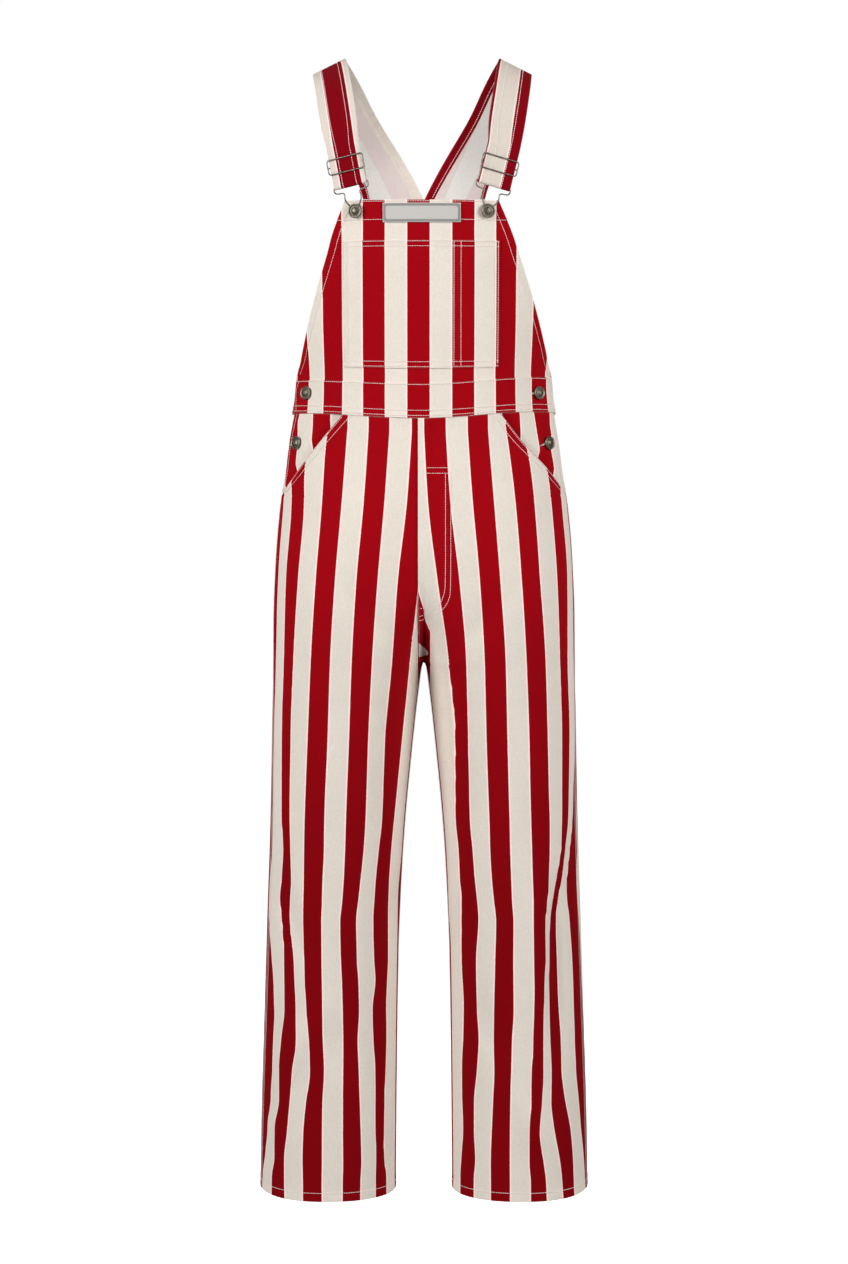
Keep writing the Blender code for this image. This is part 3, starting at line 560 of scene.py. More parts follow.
def weave_group():
    """A twill's diagonal rib and its yarns: a height, and a share of light and dark."""
    outputs = [("Height", "NodeSocketFloat"), ("Tone", "NodeSocketFloat")]
    inputs = [("Cut", "NodeSocketVector"), ("Rib", "NodeSocketFloat")]
    group, source = new_group("twill_weave", inputs, outputs)
    across, up, _ = parts_of(group, source["Cut"])
    slant = maths(group, "ADD", across, maths(group, "MULTIPLY", up, 0.6))
    rib = maths(group, "DIVIDE", maths(group, "MULTIPLY", slant, 2 * pi), source["Rib"])
    rib = maths(group, "SINE", rib)
    pick = maths(group, "MULTIPLY", maths(group, "SUBTRACT", across, up), 2 * pi)
    cross = maths(group, "DIVIDE", maths(group, "MULTIPLY", pick, 1.6), source["Rib"])
    cross = maths(group, "SINE", cross)
    slub = noise(group, source["Cut"], 320.0, 3.0)
    pairs = [("Vector", source["Cut"]), ("Scale", (1100.0, 90.0, 1.0))]
    warp = noise(group, node(group, "ShaderNodeMapping", pairs).outputs[0], 1.0, 1.0)
    cloud = noise(group, source["Cut"], 14.0, 4.0)
    height = maths(group, "MULTIPLY_ADD", cross, 0.3, maths(group, "MULTIPLY", rib, 0.5))
    height = maths(group, "MULTIPLY_ADD", slub, 0.8, height)
    tone = uneven(group, slub, 0.16, 1.0)
    tone = uneven(group, warp, 0.14, tone)
    tone = uneven(group, cloud, 0.10, tone)
    tone = maths(group, "MULTIPLY_ADD", rib, 0.02, tone)
    give(group, [("Height", height), ("Tone", tone)])
    return group


def seam_group():
    """Beside an edge the cloth is drawn in by its stitches and rubbed paler on its fold."""
    outputs = [("Pucker", "NodeSocketFloat"), ("Rubbed", "NodeSocketFloat")]
    inputs = [("Edge", "NodeSocketVector"), ("Reach", "NodeSocketFloat")]
    group, source = new_group("drawn_seam", inputs, outputs)
    from_edge = parts_of(group, source["Edge"])[0]
    near = ranged(group, from_edge, 0.0, source["Reach"])
    pucker = maths(group, "MULTIPLY", near, noise(group, source["Edge"], 75.0, 1.0))
    fold = ranged(group, from_edge, 0.0, 0.0016)
    rubbed = maths(group, "MULTIPLY", fold, noise(group, source["Edge"], 220.0, 2.0))
    give(group, [("Pucker", pucker), ("Rubbed", rubbed)])
    return group


STRIPES = stripes_group()
WEAVE = weave_group()
SEAM = seam_group()


def new_material(name, roughness):
    made = bpy.data.materials.new(name)
    made.use_nodes = True
    shader = made.node_tree.nodes["Principled BSDF"]
    shader.inputs["Roughness"].default_value = roughness
    return made, made.node_tree, shader


def grouped(tree, group, links):
    return node(tree, "ShaderNodeGroup", links, node_tree=group)


TWILL_RIB = 0.0011
# Painted shade: the red darkens down the legs in place of the light falling off toward the hem: the share
# of it left between two heights
PAINTED_SHADE_SHARE = 0.66
PAINTED_SHADE_FROM = -0.55
PAINTED_SHADE_TO = -1.12


def twill(name, first, second, line, sheen, painted_glow=0.0):
    """Striped cotton twill: soft, matt, a little fuzzy, paler where edges rub, its red darkened down the
    legs as painted shade and its stripe edges given a painted glow.
    """
    made, tree, shader = new_material(name, 0.88)
    cut = uv_map(tree, "cut")
    colours = [("First", (*first, 1)), ("Second", (*second, 1)), ("Edge", (*line, 1))]
    stripes = grouped(tree, STRIPES, [("Cut", cut), *colours, ("Half", STRIPE)])
    weave = grouped(tree, WEAVE, [("Cut", cut), ("Rib", TWILL_RIB)])
    seam = grouped(tree, SEAM, [("Edge", uv_map(tree, "edge")), ("Reach", 0.011)])
    # Painted shade: the red stripes darken down the legs, as if less light reached them low down
    depth = ranged(tree, parts_of(tree, cut)[1], PAINTED_SHADE_FROM, PAINTED_SHADE_TO, 0.0, 1 - PAINTED_SHADE_SHARE)
    painted_shade = maths(tree, "MULTIPLY", depth, stripes.outputs["First mask"])
    tone = maths(tree, "MULTIPLY", weave.outputs["Tone"], maths(tree, "SUBTRACT", 1.0, painted_shade))
    grey = node(tree, "ShaderNodeCombineXYZ", [(k, tone) for k in range(3)])
    toned = mixed(tree, 1.0, stripes.outputs["Color"], grey.outputs[0], "MULTIPLY")
    rubbed = maths(tree, "MULTIPLY", seam.outputs["Rubbed"], 0.12)
    worn = mixed(tree, rubbed, toned, (0.86, 0.74, 0.68, 1))
    tree.links.new(worn, shader.inputs["Base Color"])
    draw = maths(tree, "MULTIPLY", seam.outputs["Pucker"], 0.0009)
    relief = maths(tree, "MULTIPLY_ADD", weave.outputs["Height"], 0.00006, draw)
    raise_surface(tree, shader, relief, 0.9, 1.0)
    # Painted glow: the pale lines beside the stripe edges give off a little light of their own colour
    pale = mixed(tree, stripes.outputs["Line"], (0, 0, 0, 1), (*line, 1))
    tree.links.new(pale, shader.inputs["Emission Color"])
    shader.inputs["Emission Strength"].default_value = painted_glow
    shader.inputs["Sheen Weight"].default_value = sheen
    shader.inputs["Sheen Roughness"].default_value = 0.5
    shader.inputs["Sheen Tint"].default_value = (1.0, 0.62, 0.56, 1)
    shader.inputs["Specular IOR Level"].default_value = 0.04
    return made


# The face's stripe edges glow a little as painted light; the reverse has none
FACE = twill("striped_twill_face", RED, CREAM, EDGE_PINK, 0.02, 0.13)
REVERSE = twill("striped_twill_reverse", REVERSE_RED, REVERSE_CREAM, REVERSE_CREAM, 0.035)
BOTH_FACES = [FACE, REVERSE]
# Painted shade: the straps' twill is a darker copy of the face, with a weaker painted glow
SHADED_STRAP_FACE = twill("striped_twill_strap_shaded", SHADED_STRAP_RED, SHADED_STRAP_CREAM, EDGE_PINK, 0.02, 0.05)


def thread_material():
    """Cream cotton thread, twisted."""
    made, tree, shader = new_material("cream_thread", 0.7)
    spot = node(tree, "ShaderNodeTexCoord").outputs["Object"]
    twist = noise(tree, spot, 1500.0, 2.0)
    tone = mixed(tree, twist, (1.00, 0.84, 0.80, 1), (1.00, 0.94, 0.91, 1))
    tree.links.new(tone, shader.inputs["Base Color"])
    raise_surface(tree, shader, twist, 0.4, 0.0002)
    return made


THREAD = thread_material()

# Where the two edges of each red stripe run down a leg, as distance from the middle of the
# garment seen from the front, from the innermost stripe to the fourth, and how much cream
# shows between the fourth and the fifth. Where the cloth folds under, less of it shows.
Grain = namedtuple("Grain", "height in_1 out_1 in_2 out_2 in_3 out_3 in_4 out_4 to_fifth")
GRAIN = {
    -1: [
        Grain(-1.438, 0.0481, 0.0613, 0.0810, 0.1028, 0.1294, 0.1531, 0.1773, 0.1944, 0.0262),
        Grain(-1.408, 0.0483, 0.0613, 0.0806, 0.1027, 0.1295, 0.1532, 0.1776, 0.1940, 0.0235),
        Grain(-1.382, 0.0513, 0.0606, 0.0793, 0.1021, 0.1291, 0.1537, 0.1776, 0.1905, 0.0205),
        Grain(-1.343, 0.0516, 0.0611, 0.0800, 0.1024, 0.1289, 0.1526, 0.1736, 0.1902, 0.0145),
        Grain(-1.304, 0.0506, 0.0611, 0.0813, 0.1022, 0.1284, 0.1490, 0.1701, 0.1840, 0.0150),
        Grain(-1.265, 0.0490, 0.0616, 0.0825, 0.1018, 0.1263, 0.1435, 0.1668, 0.1839, 0.0130),
        Grain(-1.226, 0.0478, 0.0640, 0.0838, 0.1013, 0.1276, 0.1447, 0.1613, 0.1811, 0.0145),
        Grain(-1.187, 0.0481, 0.0651, 0.0817, 0.1021, 0.1281, 0.1481, 0.1615, 0.1763, 0.0185),
        Grain(-1.149, 0.0467, 0.0612, 0.0827, 0.1028, 0.1284, 0.1502, 0.1630, 0.1763, 0.0215),
        Grain(-1.123, 0.0455, 0.0629, 0.0843, 0.1041, 0.1286, 0.1510, 0.1641, 0.1761, 0.0270),
        Grain(-1.071, 0.0454, 0.0640, 0.0851, 0.1049, 0.1286, 0.1518, 0.1696, 0.1787, 0.0338),
        Grain(-1.046, 0.0449, 0.0625, 0.0824, 0.1022, 0.1277, 0.1514, 0.1684, 0.1813, 0.0335),
        Grain(-1.020, 0.0438, 0.0606, 0.0795, 0.1002, 0.1269, 0.1508, 0.1667, 0.1789, 0.0330),
        Grain(-0.982, 0.0413, 0.0567, 0.0754, 0.0984, 0.1249, 0.1500, 0.1681, 0.1763, 0.0310),
        Grain(-0.944, 0.0376, 0.0525, 0.0729, 0.0972, 0.1242, 0.1490, 0.1682, 0.1785, 0.0290),
        Grain(-0.842, 0.0274, 0.0486, 0.0692, 0.0928, 0.1195, 0.1445, 0.1666, 0.1780, 0.0272),
        Grain(-0.741, 0.0170, 0.0393, 0.0640, 0.0888, 0.1156, 0.1396, 0.1621, 0.1744, 0.0272),
        Grain(-0.641, 0.0062, 0.0320, 0.0567, 0.0826, 0.1090, 0.1329, 0.1555, 0.1713, 0.0272),
        Grain(-0.543, -0.0048, 0.0206, 0.0482, 0.0733, 0.1004, 0.1249, 0.1480, 0.1645, 0.0272),
        Grain(-0.455, -0.0122, 0.0149, 0.0422, 0.0676, 0.0937, 0.1199, 0.1480, 0.1720, 0.0272),
    ],
    +1: [
        Grain(-1.438, 0.0464, 0.0631, 0.0849, 0.1086, 0.1356, 0.1557, 0.1778, 0.1916, 0.0287),
        Grain(-1.408, 0.0464, 0.0633, 0.0847, 0.1087, 0.1355, 0.1546, 0.1755, 0.1904, 0.0270),
        Grain(-1.381, 0.0479, 0.0651, 0.0844, 0.1084, 0.1334, 0.1511, 0.1724, 0.1894, 0.0243),
        Grain(-1.342, 0.0501, 0.0632, 0.0857, 0.1084, 0.1338, 0.1456, 0.1652, 0.1860, 0.0211),
        Grain(-1.303, 0.0485, 0.0635, 0.0874, 0.1087, 0.1356, 0.1493, 0.1603, 0.1786, 0.0249),
        Grain(-1.264, 0.0483, 0.0671, 0.0887, 0.1097, 0.1363, 0.1509, 0.1608, 0.1735, 0.0255),
        Grain(-1.225, 0.0499, 0.0691, 0.0879, 0.1106, 0.1381, 0.1508, 0.1586, 0.1728, 0.0227),
        Grain(-1.187, 0.0507, 0.0668, 0.0882, 0.1126, 0.1389, 0.1510, 0.1574, 0.1702, 0.0224),
        Grain(-1.123, 0.0477, 0.0656, 0.0895, 0.1120, 0.1382, 0.1531, 0.1570, 0.1676, 0.0214),
        Grain(-1.071, 0.0476, 0.0684, 0.0904, 0.1119, 0.1376, 0.1531, 0.1585, 0.1660, 0.0192),
        Grain(-1.046, 0.0479, 0.0666, 0.0877, 0.1100, 0.1372, 0.1554, 0.1618, 0.1678, 0.0140),
        Grain(-1.020, 0.0454, 0.0638, 0.0851, 0.1090, 0.1361, 0.1570, 0.1661, 0.1732, 0.0084),
        Grain(-0.982, 0.0435, 0.0608, 0.0827, 0.1075, 0.1350, 0.1575, 0.1724, 0.1775, 0.0098),
        Grain(-0.944, 0.0399, 0.0573, 0.0816, 0.1065, 0.1336, 0.1571, 0.1733, 0.1816, 0.0113),
        Grain(-0.905, 0.0398, 0.0562, 0.0799, 0.1052, 0.1323, 0.1558, 0.1731, 0.1822, 0.0145),
        Grain(-0.842, 0.0397, 0.0545, 0.0775, 0.1033, 0.1307, 0.1539, 0.1726, 0.1827, 0.0240),
        Grain(-0.741, 0.0307, 0.0519, 0.0745, 0.1004, 0.1263, 0.1502, 0.1691, 0.1793, 0.0272),
        Grain(-0.642, 0.0167, 0.0434, 0.0684, 0.0933, 0.1199, 0.1427, 0.1650, 0.1788, 0.0272),
        Grain(-0.543, 0.0048, 0.0319, 0.0594, 0.0853, 0.1118, 0.1354, 0.1573, 0.1713, 0.0272),
        Grain(-0.455, 0.0001, 0.0265, 0.0533, 0.0783, 0.1010, 0.1248, 0.1474, 0.1646, 0.0272),
    ],
}


def stretched(value, known, marks):
    """marks at the known places, straight between them and straight on past the ends."""
    found = np.interp(value, known, marks)
    low = (marks[1] - marks[0]) / (known[1] - known[0])
    high = (marks[-1] - marks[-2]) / (known[-1] - known[-2])
    found = np.where(value < known[0], marks[0] + (value - known[0]) * low, found)
    return np.where(value > known[-1], marks[-1] + (value - known[-1]) * high, found)


# Below the crotch the cream beside the innermost stripe runs on to where the leg turns in
INSEAM_TURN = 0.0016
CROTCH_CREAM = 0.0077
INSEAM_BLEND = (-0.7110, -0.7020)
LAP_FOOT = -0.7440
LAP_END = 0.0090
# The cream end of the gusset shows on the right front above the crotch, under a line that
# falls outward from the middle
GUSSET_TOP = -0.7263
GUSSET_FALL = 1.16
GUSSET_REACH = 0.0065
GUSSET_FOOT = -0.7400


def gusset(x, height):
    """1 on the gusset's end, 0 round it."""
    under = ease(GUSSET_TOP - height - GUSSET_FALL * x, 0, 0.003)
    within = 1 - ease(x, GUSSET_REACH - 0.0016, GUSSET_REACH)
    return under * within * ease(height, GUSSET_FOOT, GUSSET_FOOT + 0.002)


def leg_stripes(side, panel):
    """How far across the cut each point of a front leg is, 0 in the middle of a red stripe."""
    marks = STRIPE * (np.arange(11) - 1.5)
    found = np.empty(panel.ways.shape)
    reach_of = side * panel.surface()[..., 0]
    for r, height in enumerate(panel.heights):
        outermost = int(np.argmax(reach_of[r])) + 1
        seen = np.maximum.accumulate(reach_of[r, :outermost]) + 1e-7 * np.arange(outermost)
        reaches = [through(GRAIN[side], name, height) for name in Grain._fields[1:9]]
        known = [float(np.interp(reach, seen, panel.ways[r, :outermost])) for reach in reaches]
        known[0] -= max(0.0, float(seen[0] - reaches[0]))
        known.append(known[-1] + through(GRAIN[side], "to_fifth", height))
        known.append(known[-1] + STRIPE)
        even = 2 * known[0] - known[1]
        turn_in = max(through(FORM, "inner", height) + INSEAM_TURN, CROTCH_CREAM)
        part = float(ease(height, *INSEAM_BLEND))
        known.insert(0, front_way(turn_in, height) * (1 - part) + even * part)
        found[r] = stretched(panel.ways[r], known, marks)
        if height > LAP_FOOT - LAP_END - 0.002:
            found[r] = np.maximum(found[r], -2 * STRIPE)
            if side > 0:
                found[r] -= STRIPE * gusset(reach_of[r], height)
    return found


def leg_width(height, front):
    return seam_way(height) if front else full_way(height) - seam_way(height)


def leg_way(shares, height, front):
    """Ways for shares of a leg panel's width. Past the crotch only its inner half widens."""
    full = leg_width(height, front)
    calm_share = 0.4
    low, high = CROTCH_ZONE
    part = (height - low) / (high - low)
    calm = full
    if 0 < part < 1:
        calm = leg_width(low, front) * (1 - part) + leg_width(high, front) * part
    inward = np.maximum(0, (1 - shares - calm_share) / (1 - calm_share))
    away = calm * (1 - shares) + (full - calm) * inward**2
    return seam_way(height) - away if front else seam_way(height) + away


def leg_row(first, last, height, front, count):
    """Columns of a leg panel between two ways, moved as leg_way moves them."""
    spot = spread(first, last, count)
    shares = np.linspace(0, 1, 200)
    start = 0.0 if front else seam_way(height)
    even = start + shares * leg_width(height, front)
    moved = leg_way(shares if front else 1 - shares, height, front)
    return spot + np.interp(spot, even, moved - even)


def leg_rows(top):
    """Rows down a leg: crowded at the waist and the hem, closer where the crotch curves."""
    edge = np.array(EDGE_STOPS)
    upper = np.linspace(top - edge[-1], -0.690, 54)
    crotch = np.linspace(-0.690, -0.790, 48)[1:]
    lower = np.linspace(-0.790, HEM + 0.0145, 132)[1:]
    hem = HEM + np.array([0.0125, 0.0112, 0.0100, 0.0085, 0.0060, 0.0030, 0.0008, 0.0])
    return np.concatenate([top - edge[:-1], upper, crotch, lower, hem])


def leg_thickness(panel):
    return np.where(panel.level < HEM + HEM_TURN, 2 * CLOTH, CLOTH)


SlashEdge = namedtuple("SlashEdge", "height reach")
SLASH_EDGE = {
    -1: [SlashEdge(OPENING_FOOT, 0.1790), SlashEdge(-0.4800, 0.1345), SlashEdge(WAIST, 0.0995)],
    +1: [SlashEdge(OPENING_FOOT, 0.1790), SlashEdge(-0.5050, 0.1521), SlashEdge(-0.4930, 0.1406),
         SlashEdge(-0.4800, 0.1279), SlashEdge(-0.4640, 0.1138), SlashEdge(WAIST, 0.0925)],
}
SLASH_HEM = 0.0122
FLY_LAP = 0.0076
LEG_COLUMNS = 64
# The two rows of stitches down the fly: distance from the middle, foot, height of the bend
FlyStitch = namedtuple("FlyStitch", "reach foot bend")
FLY_STITCHES = [FlyStitch(0.0262, -0.6815, 0.035), FlyStitch(0.0327, -0.6835, 0.028)]
# Short bars that hold the lap down above the crotch: the two ends of each, across and up
LAP_BARS = [((-0.0068, -0.6750), (-0.0030, -0.6762)), ((-0.0100, -0.6862), (0.0006, -0.6829)),
            ((-0.0105, -0.6910), (0.0022, -0.6893))]
# Two rows of stitches across the fly's foot band, and where they start and end
FLY_ROWS = (-0.5010, -0.5082)
FLY_ROW_ENDS = (0.0035, 0.0310)
SLASH_STITCHES = (0.0024, SLASH_HEM - 0.0008)
SIDE_STITCHES = (0.0018, 0.0078)
HEM_STITCH = HEM + HEM_TURN - 0.0008


def lapped(height):
    """1 where the right front laps over the left, 0 below the crotch."""
    return float(ease(height, LAP_FOOT - LAP_END, LAP_FOOT))


def front_leg_panel(side):
    rows = leg_rows(WAIST - SEAM_GAP)
    gap = SEAM_GAP / 2
    ways = []
    for height in rows:
        first = leg_way(0.0, height, True) + gap
        if side > 0:
            first -= front_way(FLY_LAP, height) * lapped(height)
        last = seam_way(height) - gap
        if height > OPENING_FOOT:
            last = min(last, way_at(SLASH_EDGE[side], "reach", height))
        ways.append(leg_row(first, last, height, True, LEG_COLUMNS))
    return Panel(side, rows, np.array(ways))


def hem_rise(distance, width, rise=0.0007):
    """A turned hem stands a little proud and ends in a soft step, sunk at its stitches."""
    step = 1 - ease(distance, width - 0.0006, width + 0.0014)
    sunk = np.exp(-(((distance - width + 0.0010) / 0.0011) ** 2))
    return rise * step - 0.0003 * sunk


for side, word in SIDES:
    panel = front_leg_panel(side)
    beside_slash = np.where(panel.level > OPENING_FOOT + 0.004, panel.from_last, 1.0)
    panel.lift += hem_rise(beside_slash, SLASH_HEM)
    panel.lift += hem_rise(panel.from_foot, HEM_TURN - 0.0012, 0.0004)
    if side > 0:
        lap = np.array([lapped(height) for height in panel.heights])[:, None]
        panel.lift += (OVER + 0.0004) * lap * (1 - ease(panel.ways, 0.0035, 0.0130))
    stripes = leg_stripes(side, panel)
    leg = panel_wall(f"front_leg_{word}_cloth", panel, stripes, BOTH_FACES, leg_thickness(panel))
    declare(leg, ["front_leg_" + word])

    lines = [panel.down_edge(distance, WAIST - 0.002, OPENING_FOOT + 0.002) for distance in SLASH_STITCHES]
    lines += [panel.down_edge(distance, OPENING_FOOT - 0.006, HEM + 0.003) for distance in SIDE_STITCHES]
    lines.append(panel.down_edge(0.0018, -0.760, HEM + 0.003, edge=0))
    lines.append(panel.across_row(HEM_STITCH))
    if side > 0:
        for height in FLY_ROWS:
            lines.append(panel.on([(way, height) for way in np.linspace(*FLY_ROW_ENDS, 12)]))
        for reach, foot, bend in FLY_STITCHES:
            curve = [(reach, height) for height in np.linspace(-0.509, foot + bend, 24)]
            for turn in np.linspace(0, 0.46 * pi, 14)[1:]:
                curve.append((reach - 0.020 * (1 - cos(turn)), foot + bend * (1 - sin(turn))))
            lines.append(panel.on(curve))
        for start, end in LAP_BARS:
            lines.append(panel.on(np.linspace(start, end, 8)))
    threads = sewn(f"front_leg_{word}_stitches", lines)

# ---------------------------------------------------------------------------------
# Back legs
# Each back leg, with its half of the seat, is one wider panel of the same twill. The
# two join at the centre back with a double row of stitches.
# ---------------------------------------------------------------------------------

TUCK_DEPTH = 0.0025
TUCK_REACH = 0.030
# How far the stripes sit off the side seam, and how much they lean from it
BackGrain = namedtuple("BackGrain", "shift lean")
BACK_GRAIN = {-1: BackGrain(0.0075, 0.040), +1: BackGrain(-0.0180, 0.110)}
LEAN_FROM = -1.10
BACK_COLUMNS = 66
SEAT_STITCHES = (0.0020, 0.0085)
SEAT_FOOT = -0.735

for side, word in SIDES:
    rows = leg_rows(WAIST - SEAM_GAP)
    gap = SEAM_GAP / 2
    ways = []
    for height in rows:
        ways.append(leg_row(seam_way(height) + gap, full_way(height) - gap, height, False, BACK_COLUMNS))
    panel = Panel(side, rows, np.array(ways))
    beside = np.clip(1 - panel.from_first / TUCK_REACH, 0, 1)
    within = np.clip((panel.level - OPENING_FOOT) / TUCK_REACH, 0, 1)
    panel.lift -= TUCK_DEPTH * beside * within
    panel.lift += hem_rise(panel.from_foot, HEM_TURN - 0.0012, 0.0004)
    shift, lean = BACK_GRAIN[side]
    stripes = panel.from_first - shift + lean * (panel.level - LEAN_FROM)
    leg = panel_wall(f"back_leg_{word}_cloth", panel, stripes, BOTH_FACES, leg_thickness(panel))
    declare(leg, ["back_leg_" + word])

    lines = [panel.across_row(HEM_STITCH)]
    for distance in SEAT_STITCHES:
        lines.append(panel.down_edge(distance, WAIST - 0.002, SEAT_FOOT))
        lines.append(panel.across_row(WAIST - SEAM_GAP - distance))
    threads = sewn(f"back_leg_{word}_stitches", lines)

# ---------------------------------------------------------------------------------
# Hips
# A striped facing shows inside each slash pocket and carries the buttoned edge of the
# side opening. The placket, a strip of the back, runs under it.
# ---------------------------------------------------------------------------------

FACING_DEPTH = 0.0040
PLACKET_TOP = -0.3850
EDGE_HEM = 0.009
Opening = namedtuple("Opening", "height reach")
OPENING_EDGE = [
    Opening(OPENING_FOOT, 0.1795),
    Opening(-0.5140, 0.1735),
    Opening(-0.4950, 0.1712),
    Opening(-0.4700, 0.1678),
    Opening(-0.4515, 0.1640),
    Opening(WAIST, 0.1612),
    Opening(-0.3700, 0.1550),
]
# Where the facing's inner cream and red stripes begin, the red one ends and the next one
# begins, from the middle of the garment seen from the front
FacingGrain = namedtuple("FacingGrain", "height cream_in red_in red_out next_in")
FACING_GRAIN = {
    -1: [
        FacingGrain(-0.5400, 0.0950, 0.1205, 0.1410, 0.1625),
        FacingGrain(-0.5135, 0.0950, 0.1200, 0.1402, 0.1601),
        FacingGrain(-0.4949, 0.0945, 0.1190, 0.1396, 0.1590),
        FacingGrain(-0.4702, 0.0940, 0.1180, 0.1387, 0.1570),
        FacingGrain(-0.4516, 0.0930, 0.1165, 0.1372, 0.1572),
        FacingGrain(WAIST, 0.0920, 0.1148, 0.1370, 0.1546),
    ],
    +1: [
        FacingGrain(-0.5400, 0.1330, 0.1520, 0.1680, 0.1790),
        FacingGrain(-0.5148, 0.1290, 0.1480, 0.1631, 0.1755),
        FacingGrain(-0.4950, 0.1240, 0.1432, 0.1603, 0.1735),
        FacingGrain(-0.4826, 0.1215, 0.1430, 0.1580, 0.1720),
        FacingGrain(-0.4640, 0.1203, 0.1398, 0.1583, 0.1697),
        FacingGrain(-0.4540, 0.1186, 0.1380, 0.1568, 0.1676),
        FacingGrain(WAIST, 0.1172, 0.1350, 0.1562, 0.1655),
    ],
}
# How far the placket's stripes sit off its seam
PLACKET_SHIFT = {-1: 0.0190, +1: 0.0440}


SATIN = Stitch(0.00038, 0.00040, 0.00105, 0.0010)


def buttonhole(panel, reach, height, run, rise):
    """The satin stitches of the part of a buttonhole that shows, as lines across it."""
    shares = np.linspace(0, 1, 16)
    points, normals = panel.on([(front_way(reach + run * t, height), height + rise * t) for t in shares])
    tall = np.outer(0.0007 + 0.0015 * shares, (0, 0, 1))
    ends = np.stack([points - tall, points + tall], 1)
    return list(zip(ends, np.stack([normals] * 2, 1)))


for side, word in SIDES:
    rows = spread(WAIST - SEAM_GAP, OPENING_FOOT, 44)
    ways = []
    for height in rows:
        slash = way_at(SLASH_EDGE[side], "reach", height)
        opening = way_at(OPENING_EDGE, "reach", height)
        ways.append(spread(slash - EDGE_HEM, max(opening, slash + EDGE_HEM / 4), 34))
    panel = Panel(side, rows, np.array(ways), folds=False)
    slash = panel.ways[:, :1] + EDGE_HEM
    panel.lift -= FACING_DEPTH * (1 - ease(panel.ways, slash + 0.001, slash + 0.018))
    panel.lift += hem_rise(panel.from_last, 0.0120, 0.0005)
    stripes = np.empty(panel.ways.shape)
    for r, height in enumerate(rows):
        known = [way_at(FACING_GRAIN[side], name, height) for name in FacingGrain._fields[1:]]
        stripes[r] = stretched(panel.ways[r], known, STRIPE * np.array([-1.5, -0.5, 0.5, 1.5]))
    facing = panel_wall(f"hip_facing_{word}_cloth", panel, stripes, BOTH_FACES)
    declare(facing, ["hip_facing_" + word])
    threads = [sewn(f"hip_facing_{word}_stitches", [panel.down_edge(0.0105, foot=-0.529)])]
    if side > 0:
        threads.append(sewn("lower_buttonhole", buttonhole(panel, 0.1436, -0.4774, 0.0090, 0.0036), SATIN))

    rows = spread(PLACKET_TOP, OPENING_FOOT - EDGE_HEM, 44)
    ways = []
    for height in rows:
        edge = way_at(OPENING_EDGE, "reach", height)
        ways.append(spread(edge - 0.024, seam_way(height) + 0.014, 30))
    panel = Panel(side, rows, np.array(ways), folds=False)
    seam = np.array([seam_way(height) for height in rows])[:, None]
    slash = np.array([way_at(SLASH_EDGE[side], "reach", height) for height in rows])[:, None]
    under_facing = 1 - ease(panel.ways, slash + 0.012, slash + 0.030)
    under_back = ease(panel.ways, seam - 0.008, seam)
    panel.lift -= OVER + 0.0002 + FACING_DEPTH * np.maximum(under_facing, under_back)
    stripes = panel.ways - seam + PLACKET_SHIFT[side]
    placket = panel_wall(f"side_placket_{word}_cloth", panel, stripes, BOTH_FACES)
    declare(placket, ["side_placket_" + word])

# ---------------------------------------------------------------------------------
# Bib
# The bib is one piece from its top down to the waist, hemmed at the sides and, deeper,
# at the top. A pocket with a pencil slot and a waistband lie over it, stripe on stripe.
# ---------------------------------------------------------------------------------

BIB_TOP = -0.1808
BAND_TOP = -0.3925
POCKET_TOP = -0.2288
POCKET_FOOT = -0.3800
POCKET_LEFT = -0.1010
POCKET_RIGHT = 0.0925
PENCIL_SLOT = (0.0362, 0.0447)
BIB_TOP_HEM = 0.0244
BibEdge = namedtuple("BibEdge", "height left right hem")
BIB_EDGE = [
    BibEdge(-0.4500, 0.1622, 0.1622, 0.0105),
    BibEdge(-0.4391, 0.1610, 0.1610, 0.0105),
    BibEdge(-0.4128, 0.1604, 0.1606, 0.0110),
    BibEdge(-0.3894, 0.1574, 0.1576, 0.0130),
    BibEdge(-0.3750, 0.1532, 0.1538, 0.0125),
    BibEdge(-0.3567, 0.1490, 0.1495, 0.0105),
    BibEdge(-0.3180, 0.1396, 0.1392, 0.0100),
    BibEdge(-0.2796, 0.1288, 0.1276, 0.0110),
    BibEdge(-0.2414, 0.1171, 0.1146, 0.0110),
    BibEdge(-0.2225, 0.1120, 0.1083, 0.0110),
    BibEdge(BIB_TOP, 0.0957, 0.0903, 0.0110),
]


def bib_sides(height):
    """The ways from the middle out to the bib's left and right edges."""
    return -way_at(BIB_EDGE, "left", height), way_at(BIB_EDGE, "right", height)


def bib_grid(rows, sides, count):
    """A panel on the bib between two sides, given as a function of height."""
    return Panel(+1, rows, np.array([spread(*sides(height), count) for height in rows]), folds=False)


# Stripes beside the bib's edges: the last red one runs out to the left edge, and on the
# right the last red one is drawn a little wide
BIB_MARKS = [(-0.3000, -0.1635), (-0.1702, -0.1635), (0.1159, 4.5 * STRIPE), (0.1415, 5.5 * STRIPE),
             (0.1745, 6.5 * STRIPE), (0.1880, 7.0 * STRIPE), (0.3000, 7.0 * STRIPE)]


def bib_stripes(panel):
    """How far across the cut each point of the bib is, as on its pocket and band."""
    ways, marks = zip(*BIB_MARKS)
    return np.interp(panel.ways, ways, marks)


def level_line(panel, height, sides, count):
    return panel.on([(way, height) for way in np.linspace(*sides, count)])


